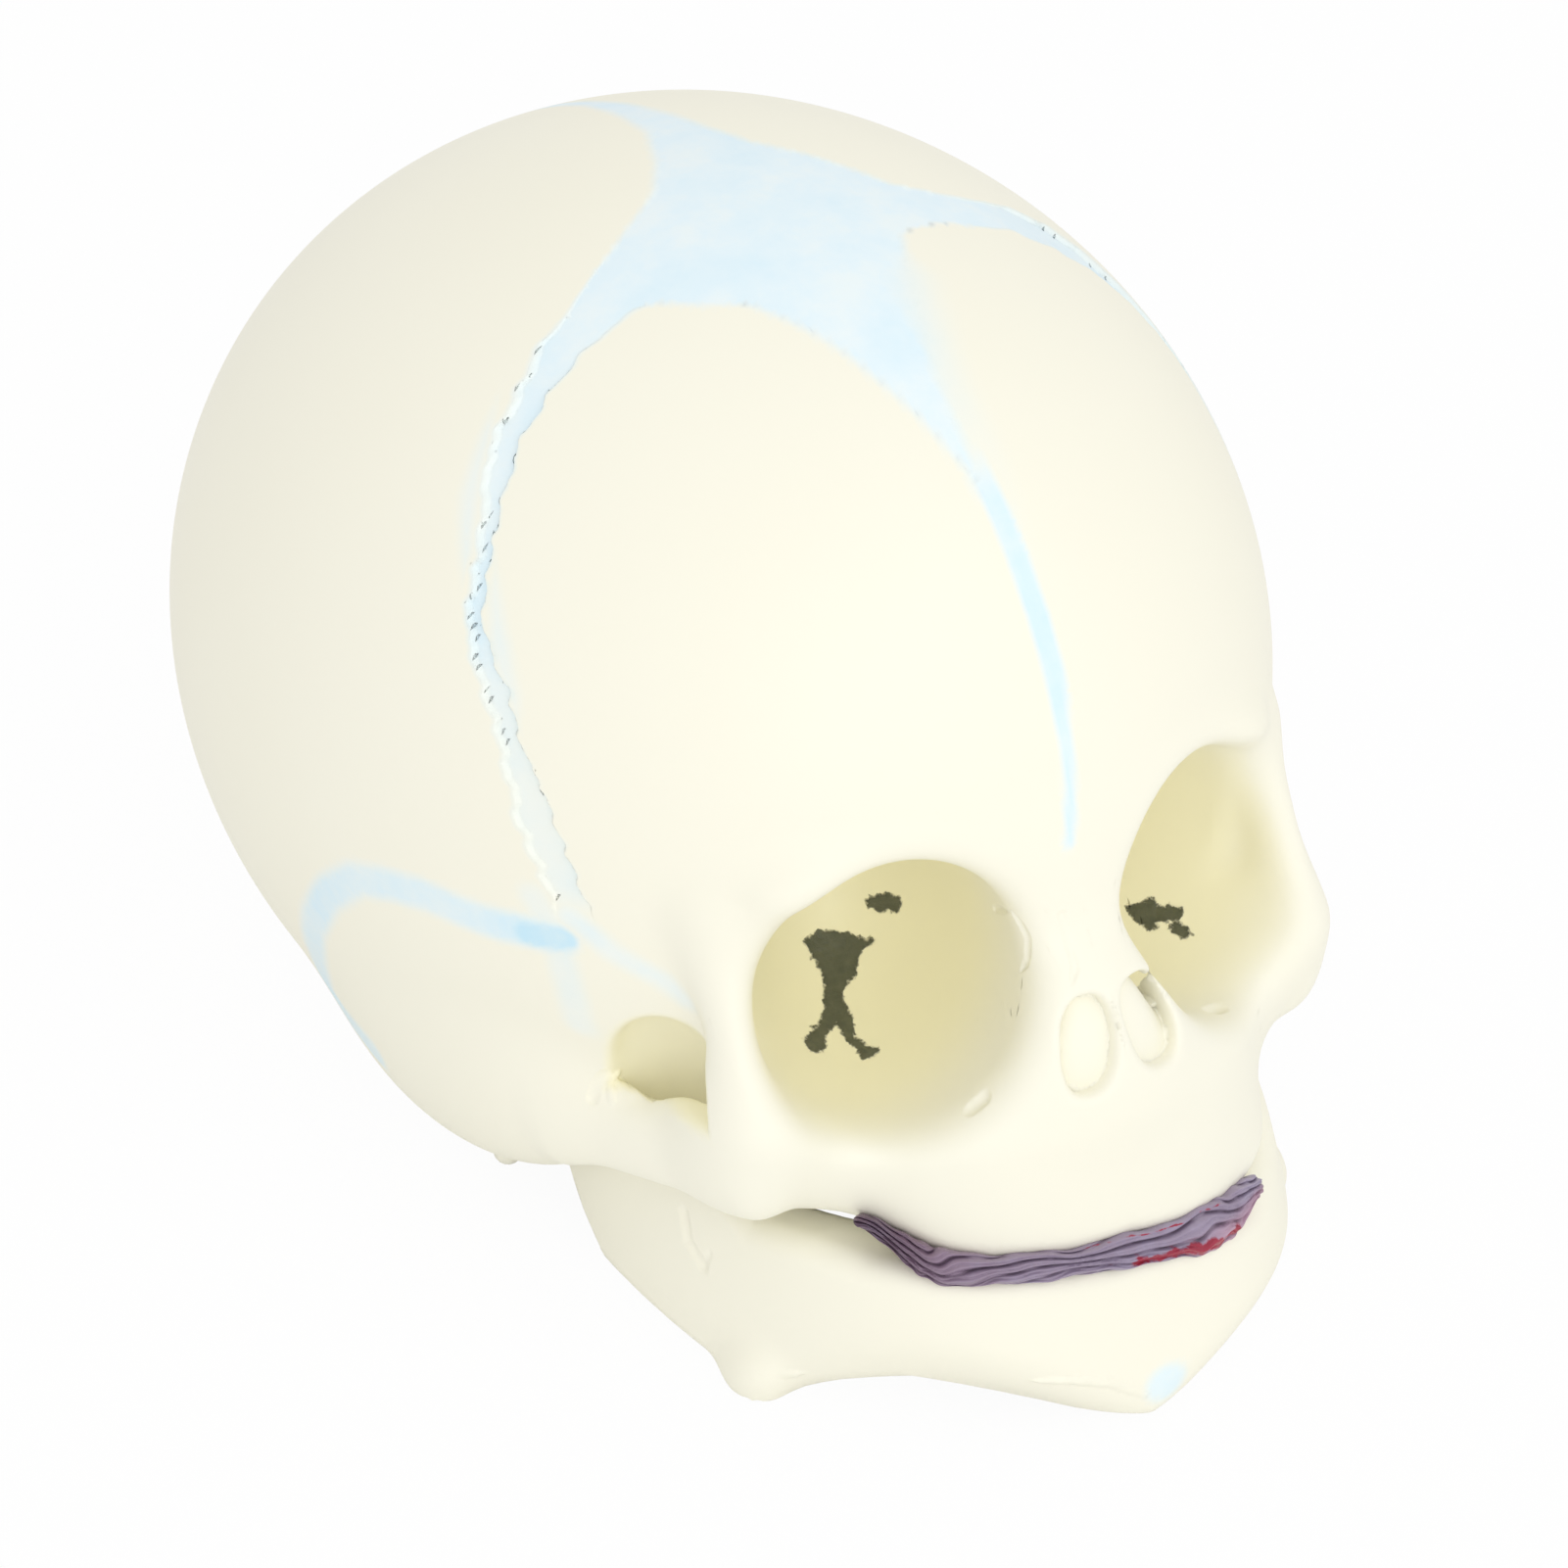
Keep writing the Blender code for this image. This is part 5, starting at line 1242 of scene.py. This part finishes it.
class Finish:
    """A material with short calls for the nodes that the finishes are made of."""

    def __init__(self, name):
        self.material = bpy.data.materials.new(name)
        self.material.use_nodes = True
        self.tree = self.material.node_tree
        self.shader = self.tree.nodes["Principled BSDF"]
        self.place = self.node("ShaderNodeTexCoord").outputs["Object"]

    def set(self, target, value):
        """Link a socket to an input, or give the input a plain value."""
        if isinstance(value, bpy.types.NodeSocket):
            self.tree.links.new(value, target)
        elif isinstance(value, tuple) and target.type == "RGBA":
            target.default_value = (*value, 1.0)
        else:
            target.default_value = value

    def node(self, kind, **values):
        """A node with its properties and its named inputs set."""
        result = self.tree.nodes.new(kind)
        for name, value in values.items():
            if name in result.bl_rna.properties:
                setattr(result, name, value)
            else:
                self.set(result.inputs[name.replace("_", " ")], value)
        return result

    def noise(self, scale, detail, roughness):
        """Noise of the object's own coordinates."""
        return self.node("ShaderNodeTexNoise", Scale=scale, Detail=detail, Roughness=roughness,
                         Vector=self.place).outputs["Fac"]

    def layer(self, name):
        """A value layer of the mesh."""
        return self.node("ShaderNodeAttribute", attribute_name=name).outputs["Fac"]

    def sum(self, operation, *terms, clamp=False):
        """A sum of sockets and numbers."""
        result = self.node("ShaderNodeMath", operation=operation, use_clamp=clamp)
        for target, term in zip(result.inputs, terms):
            self.set(target, term)
        return result.outputs[0]

    def mix(self, share, first, second):
        """A mix of two colours."""
        result = self.node("ShaderNodeMix", data_type="RGBA")
        for k, value in ((0, share), (6, first), (7, second)):
            self.set(result.inputs[k], value)
        return result.outputs[2]

    def span(self, value, **ends):
        """A value carried from one range to another."""
        return self.node("ShaderNodeMapRange", Value=value, **ends).outputs[0]

    def dress(self, **inputs):
        """Give the shader its inputs."""
        for name, value in inputs.items():
            self.set(self.shader.inputs[name.replace("_", " ")], value)
        return self.material


def cast_material(name):
    """Cream cast plastic with its painted sutures, dark fissure paint and painted warm bounce light
    in its hollows.
    """
    finish = Finish(name)
    cloud = finish.noise(*BONE_CLOUD)
    grain = finish.noise(*BONE_GRAIN)
    streak = finish.noise(*PAINT_STREAK)
    chip = finish.noise(*FISSURE_CHIP)
    # Painted warm bounce light: the depth layer mixes the hollows towards the yellow socket colour.
    bone = finish.mix(finish.layer("depth"), finish.mix(cloud, BONE_WARM, BONE_PALE), SOCKET_BOUNCE_LIGHT)
    cover = finish.sum("MULTIPLY", finish.layer("paint"),
                       finish.sum("MULTIPLY_ADD", streak, *PAINT_COVER), clamp=True)
    deep = finish.sum("ADD", finish.sum("MULTIPLY_ADD", streak, *PAINT_WASH),
                      finish.layer("tint"), clamp=True)
    painted = finish.mix(cover, bone, finish.mix(deep, BLUE_PALE, BLUE_DEEP))
    edge = finish.sum("ADD", finish.layer("fissure"),
                      finish.sum("MULTIPLY_ADD", chip, *FISSURE_RAGGED))
    crack = finish.span(edge, From_Min=FISSURE_EDGE[0], From_Max=FISSURE_EDGE[1])
    pitch = finish.mix(grain, FISSURE_DARK, FISSURE_LIGHT)
    fine = finish.node("ShaderNodeBump", Strength=0.08, Distance=0.00004, Height=grain)
    crust = finish.node("ShaderNodeBump", Strength=0.7, Distance=0.00045,
                        Height=finish.sum("MULTIPLY_ADD", crack, chip, crack),
                        Normal=fine.outputs["Normal"])
    return finish.dress(Base_Color=finish.mix(crack, painted, pitch),
                        Normal=crust.outputs["Normal"],
                        Roughness=finish.span(crack, To_Min=BONE_ROUGHNESS,
                                              To_Max=FISSURE_ROUGHNESS))


def gum_material():
    """Folded purple plastic, lavender on the folds, painted shade in the creases, with red flecks.
    """
    finish = Finish("gum_finish")
    cloud = finish.noise(*GUM_CLOUD)
    fleck = finish.noise(*GUM_FLECK)
    drift = finish.sum("MULTIPLY_ADD", cloud, *GUM_DRIFT, clamp=True)
    pale = finish.sum("ADD", drift, finish.layer("tint"), clamp=True)
    fold = finish.mix(pale, GUM_MIDDLE, GUM_PALE)
    pink = finish.mix(finish.layer("depth"), fold, GUM_PINK)
    # Painted shade: the paint layer darkens the gum towards the dark colour in its creases and at
    # its first end.
    shaded = finish.mix(finish.layer("paint"), pink, GUM_PAINTED_SHADE)
    sore = finish.span(finish.sum("ADD", fleck, finish.layer("fissure")),
                       From_Min=GUM_SORE[0], From_Max=GUM_SORE[1])
    bump = finish.node("ShaderNodeBump", Strength=0.35, Distance=0.00012, Height=cloud)
    return finish.dress(Base_Color=finish.mix(sore, shaded, GUM_RED),
                        Roughness=finish.span(fleck, To_Min=0.26, To_Max=0.46),
                        Normal=bump.outputs["Normal"])


def pin_material():
    """Brushed steel of the hinge pins."""
    finish = Finish("pin_finish")
    stretch = finish.node("ShaderNodeMapping", Vector=finish.place, Scale=PIN_STRETCH)
    lines = finish.node("ShaderNodeTexNoise", Scale=1.0, Detail=3.0,
                        Vector=stretch.outputs[0]).outputs["Fac"]
    return finish.dress(Base_Color=finish.mix(lines, STEEL_DARK, STEEL_LIGHT), Metallic=1.0,
                        Roughness=finish.span(lines, To_Min=0.22, To_Max=0.42))


# Building the visual model

def sided_names(names):
    """Label names in order: a left and a right one for paired bones."""
    result = []
    for name in names:
        if name in PAIRED:
            result += [name + "_left", name + "_right"]
        else:
            result.append(name)
    return result


def skull_fields(point):
    """One field for each skull label, smallest where the label rules."""
    share_out = territories(point)
    rows = [np.full(len(point[0]), 1.0)]
    for name in BONES:
        field = share_out[name]
        if name in PAIRED:
            rows += [np.maximum(field, -point[0]), np.maximum(field, point[0])]
        else:
            rows.append(field)
    rows.append(np.zeros(len(point[0])))
    return np.stack(rows)


def jaw_fields(point):
    """Fields of the jaw and of its chin wedge."""
    wedge = symphysis_form(point)
    return np.stack((np.full(len(wedge), 1.0), -wedge, wedge))


def near_coronal(point):
    """Whether a point is beside the serrated coronal suture."""
    frontal, parietal, _, _ = plates(point)
    close = np.minimum(np.abs(frontal), np.abs(parietal)) < FINE_BAND_REACH
    return (close & (point[2] > FINE_BAND_FOOT) & (np.abs(point[0]) > FINE_BAND_SIDE)
            & (egg_depth(point) > -FINE_BAND_DEPTH))


def near_strokes(point, strokes, reach):
    """Whether a point is beside one of some strokes."""
    inside = np.zeros(len(point[0]), dtype=bool)
    for radius, nodes in strokes:
        inside |= stroke(point, nodes, radius) > -reach
    return inside


def near_marks(point, marks):
    """Whether a point is beside a fine groove or ridge."""
    return near_strokes(point, [mark[1:] for mark in marks], MARK_REACH)


def near_nose(point):
    """Whether a point is round the nostrils."""
    return ((np.abs(point[0]) < NOSE_ZONE[0]) & (point[1] < NOSE_ZONE[1])
            & (np.abs(point[2] - NOSTRIL_LEVEL) < NOSE_ZONE[2]))


def fine_zone(point):
    """Where the skull mesh is refined."""
    return (near_coronal(point) | near_strokes(point, FISSURE_SETS, FISSURE_REACH)
            | near_marks(point, SKULL_MARKS) | near_nose(point))


def jaw_fine_zone(point):
    """Where the jaw mesh is refined."""
    return near_marks(point, JAW_MARKS)


def build_casting(body, labels, boxes, fields, masks, surface, shift, step, zones):
    """All pieces of one casting, each riding on its body in place of its node."""
    low = np.min([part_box(name)[0] for name in boxes], 0) - MARGIN
    high = np.max([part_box(name)[1] for name in boxes], 0) + MARGIN
    shared = cast(surface, fields, low, high, step, shift, zones)
    finish = cast_material(body + "_finish")
    for label, name in enumerate(labels, 1):
        part = make_piece(name + "_cast", shared, label, masks, shift, finish)
        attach(part, body)
        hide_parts(name)


def curve_through(nodes, count):
    """Evenly stepped smooth curve through some nodes."""
    nodes = np.array([sized(one) for one in nodes])
    spans = len(nodes) - 1
    run = np.linspace(0.0, spans, count)
    first = np.minimum(run.astype(int), spans - 1)
    share = (run - first)[:, None]
    slope = np.gradient(nodes, axis=0)
    a, b = nodes[first], nodes[first + 1]
    p, q = slope[first], slope[first + 1]
    return (a * (1.0 + 2.0 * share) * (1.0 - share) ** 2 + p * share * (1.0 - share) ** 2
            + b * share ** 2 * (3.0 - 2.0 * share) + q * share ** 2 * (share - 1.0))


def gum_folds(run, height):
    """Height of the long folds of the gum strip, from 0 in a crease to 1 on a fold."""
    drift = sum(size * np.sin(rate * run + phase + lean * height)
                for size, rate, phase, lean in GUM_WAVES)
    long = np.abs(np.sin(math.pi * (GUM_FOLDS * height + drift)))
    fine = np.abs(np.sin(math.pi * (GUM_FINE_FOLDS * height + 2.0 * drift + 0.3)
                         + GUM_RIPPLE[0] * np.sin(GUM_RIPPLE[1] * run)))
    return GUM_LONG_SHARE * long ** 0.8 + (1.0 - GUM_LONG_SHARE) * fine


def gum_values(run, height, folds):
    """Painted shade in the creases, pale stretch, red flecks and pink lobe of the gum strip."""
    # Painted shade in the creases between the folds, and a darkening towards the first end of the
    # strip.
    crease = (0.85 * np.clip((0.55 - folds) / 0.42, 0.0, 1.0)
              + 0.55 * fall(run, *GUM_DARK_END))
    pale = 0.15 + 0.55 * ramp(run, *GUM_PALE_START) + 0.25 * ramp(run, *GUM_PALE_END)
    red = sum(size * np.exp(-((height - level) / spread) ** 2) * ramp(run, *start)
              * fall(run, *end) for size, level, spread, start, end in GUM_RED_BANDS)
    lobe = ramp(run, *GUM_LOBE_START) * fall(height, *GUM_LOBE_TOP)
    return [np.clip(one, 0.0, 1.0).ravel() for one in (crease, pale, red, lobe)]


def tube_faces(rings, around):
    """Triangles of a closed tube of points and of its two end caps."""
    k, j = np.meshgrid(np.arange(rings - 1), np.arange(around), indexing="ij")
    a, b = k * around + j, k * around + (j + 1) % around
    c, d = a + around, b + around
    last = (rings - 1) * around
    fan = np.arange(1, around - 1)
    parts = ((a, b, c), (b, d, c), (0 * fan, fan + 1, fan),
             (last + 0 * fan, last + fan, last + fan + 1))
    return np.concatenate([np.stack(part, -1).reshape(-1, 3) for part in parts])


def build_gum(shift):
    """The folded gum strip: a closed band between its upper and its lower edge."""
    upper = curve_through(GUM_UPPER_NODES, GUM_STATIONS)
    lower = curve_through(GUM_LOWER_NODES, GUM_STATIONS)
    run = np.linspace(0.0, 1.0, GUM_STATIONS)
    end = np.minimum(run, 1.0 - run) / GUM_TIP
    tip = np.sqrt(1.0 - (1.0 - np.clip(end, 0.0, 1.0)) ** 2)
    wave = 1.0 + sum(size * np.sin(rate * run + phase) for size, rate, phase in GUM_EDGE_WAVES)
    middle = (upper + lower) / 2.0
    half = (upper - lower) / 2.0 * (tip * wave)[:, None]
    outward = np.cross(np.gradient(middle, axis=0), half)
    outward = outward / (np.linalg.norm(outward, axis=1) + TINY)[:, None]
    outward = outward * np.where(np.sum(outward * middle, axis=1) < 0.0, -1.0, 1.0)[:, None]
    turn = np.linspace(0.0, 2.0 * math.pi, GUM_AROUND, endpoint=False)
    up = np.cos(turn)
    out = np.sin(turn)
    front = np.clip(out, 0.0, 1.0)
    height = np.broadcast_to((up + 1.0) / 2.0, (GUM_STATIONS, GUM_AROUND))
    far = np.broadcast_to(run[:, None], height.shape)
    folds = gum_folds(far, height)
    crown = GUM_BULGE * front ** 0.7 + GUM_FOLD_DEPTH * (folds - 0.6) * front ** 0.5
    lift = np.where(out > 0.0, crown, GUM_BACK * out) * tip[:, None]
    points = (middle[:, None] + half[:, None] * up[None, :, None]
              + outward[:, None] * lift[..., None]).reshape(-1, 3)
    world = np.stack(to_world(tuple(points.T), shift), axis=1)
    part = mesh_object("gum_strip_cast", world, tube_faces(GUM_STATIONS, GUM_AROUND), None,
                       gum_values(far, height, folds), gum_material())
    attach(part, "jaw")
    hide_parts("gum_strip")


def dress_pins():
    """Steel finish on the pins, which keep their own solids."""
    finish = pin_material()
    for name in ("jaw_pin_left", "jaw_pin_right"):
        item = bpy.data.objects[name]
        item.data.materials.clear()
        item.data.materials.append(finish)


# Stage, lights and camera

def build_camera(shift):
    """Camera of the photograph."""
    data = bpy.data.cameras.new("camera")
    data.sensor_width = SENSOR_WIDTH
    data.lens = CAMERA_FOCUS_PIXELS / PHOTO_SIZE * SENSOR_WIDTH
    data.shift_x = (PHOTO_SIZE / 2.0 - BRAINCASE_PIXEL[0]) / PHOTO_SIZE
    data.shift_y = (BRAINCASE_PIXEL[1] - PHOTO_SIZE / 2.0) / PHOTO_SIZE
    camera = bpy.data.objects.new("camera", data)
    bpy.context.collection.objects.link(camera)
    level = math.cos(CAMERA_ELEVATION) * CAMERA_DISTANCE
    camera.location = (math.sin(CAMERA_AZIMUTH) * level, shift - math.cos(CAMERA_AZIMUTH) * level,
                       FLOOR_DROP + math.sin(CAMERA_ELEVATION) * CAMERA_DISTANCE)
    camera.rotation_euler = (math.pi / 2.0 - CAMERA_ELEVATION, 0.0, CAMERA_AZIMUTH)
    bpy.context.scene.camera = camera


def build_world():
    """Even pale light from all round, seen as white by the camera."""
    world = bpy.data.worlds.new("studio")
    bpy.context.scene.world = world
    world.use_nodes = True
    tree = world.node_tree
    tree.nodes.clear()
    mix = tree.nodes.new("ShaderNodeMixShader")
    for slot, strength in ((1, WORLD_LEVEL), (2, 1.0)):
        light = tree.nodes.new("ShaderNodeBackground")
        light.inputs["Color"].default_value = WHITE
        light.inputs["Strength"].default_value = strength
        tree.links.new(light.outputs[0], mix.inputs[slot])
    rays = tree.nodes.new("ShaderNodeLightPath")
    seen = tree.nodes.new("ShaderNodeMath")
    seen.operation = "MAXIMUM"
    tree.links.new(rays.outputs["Is Camera Ray"], seen.inputs[0])
    tree.links.new(rays.outputs["Is Glossy Ray"], seen.inputs[1])
    tree.links.new(seen.outputs[0], mix.inputs[0])
    tree.links.new(mix.outputs[0], tree.nodes.new("ShaderNodeOutputWorld").inputs[0])


def build_lamps(centre):
    """Soft lamps aimed at the skull."""
    for name, place, size, power in LAMPS:
        data = bpy.data.lights.new(name, "AREA")
        data.shape = "SQUARE"
        data.size = size
        data.energy = power
        lamp = bpy.data.objects.new(name, data)
        bpy.context.collection.objects.link(lamp)
        lamp.location = place
        aim = np.array(centre) - np.array(place)
        lamp.rotation_euler = (math.atan2(math.hypot(aim[0], aim[1]), -aim[2]), 0.0,
                               math.atan2(aim[0], -aim[1]) + math.pi)


def build_floor():
    """White floor that keeps the shadow."""
    mesh = bpy.data.meshes.new("floor")
    half = FLOOR_SIZE / 2.0
    mesh.from_pydata([(-half, -half, 0.0), (half, -half, 0.0), (half, half, 0.0),
                      (-half, half, 0.0)], [], [(0, 1, 2, 3)])
    floor = bpy.data.objects.new("floor", mesh)
    bpy.context.collection.objects.link(floor)
    finish = Finish("floor_finish")
    tree = finish.tree
    glow = finish.node("ShaderNodeEmission", Color=(1.0, 1.0, 1.0), Strength=1.0)
    rays = tree.nodes.new("ShaderNodeLightPath")
    mix = tree.nodes.new("ShaderNodeMixShader")
    share = finish.sum("MULTIPLY", rays.outputs["Is Camera Ray"], FLOOR_WHITENING)
    for slot, source in enumerate((share, finish.shader.outputs[0], glow.outputs[0])):
        tree.links.new(source, mix.inputs[slot])
    tree.links.new(mix.outputs[0], tree.nodes["Material Output"].inputs["Surface"])
    mesh.materials.append(finish.dress(Base_Color=FLOOR_GREY, Roughness=0.9,
                                       Specular_IOR_Level=0.0))


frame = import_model()

hinge_y = next(joint["pos_m"][1] for joint in frame["joints"] if joint["name"] == "jaw_hinge")
shift = hinge_y - to_world(CONDYLE_CENTRE, 0.0)[1]

build_casting("skull", sided_names(BONES) + [MEMBRANE],
              [name for name in frame["nodes"] if name not in JAW_NODES], skull_fields,
              skull_masks, skull_surface, shift, STEP,
              ((fine_zone, fine_zone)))
build_casting("jaw", ["mandible", CHIN], ["mandible"], jaw_fields, jaw_masks, jaw_surface, shift,
              JAW_STEP, ((jaw_fine_zone,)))
build_gum(shift)
dress_pins()
build_camera(shift)
build_world()
build_lamps((0.0, 0.0, FLOOR_DROP))
build_floor()
bpy.context.scene.view_settings.view_transform = "Standard"
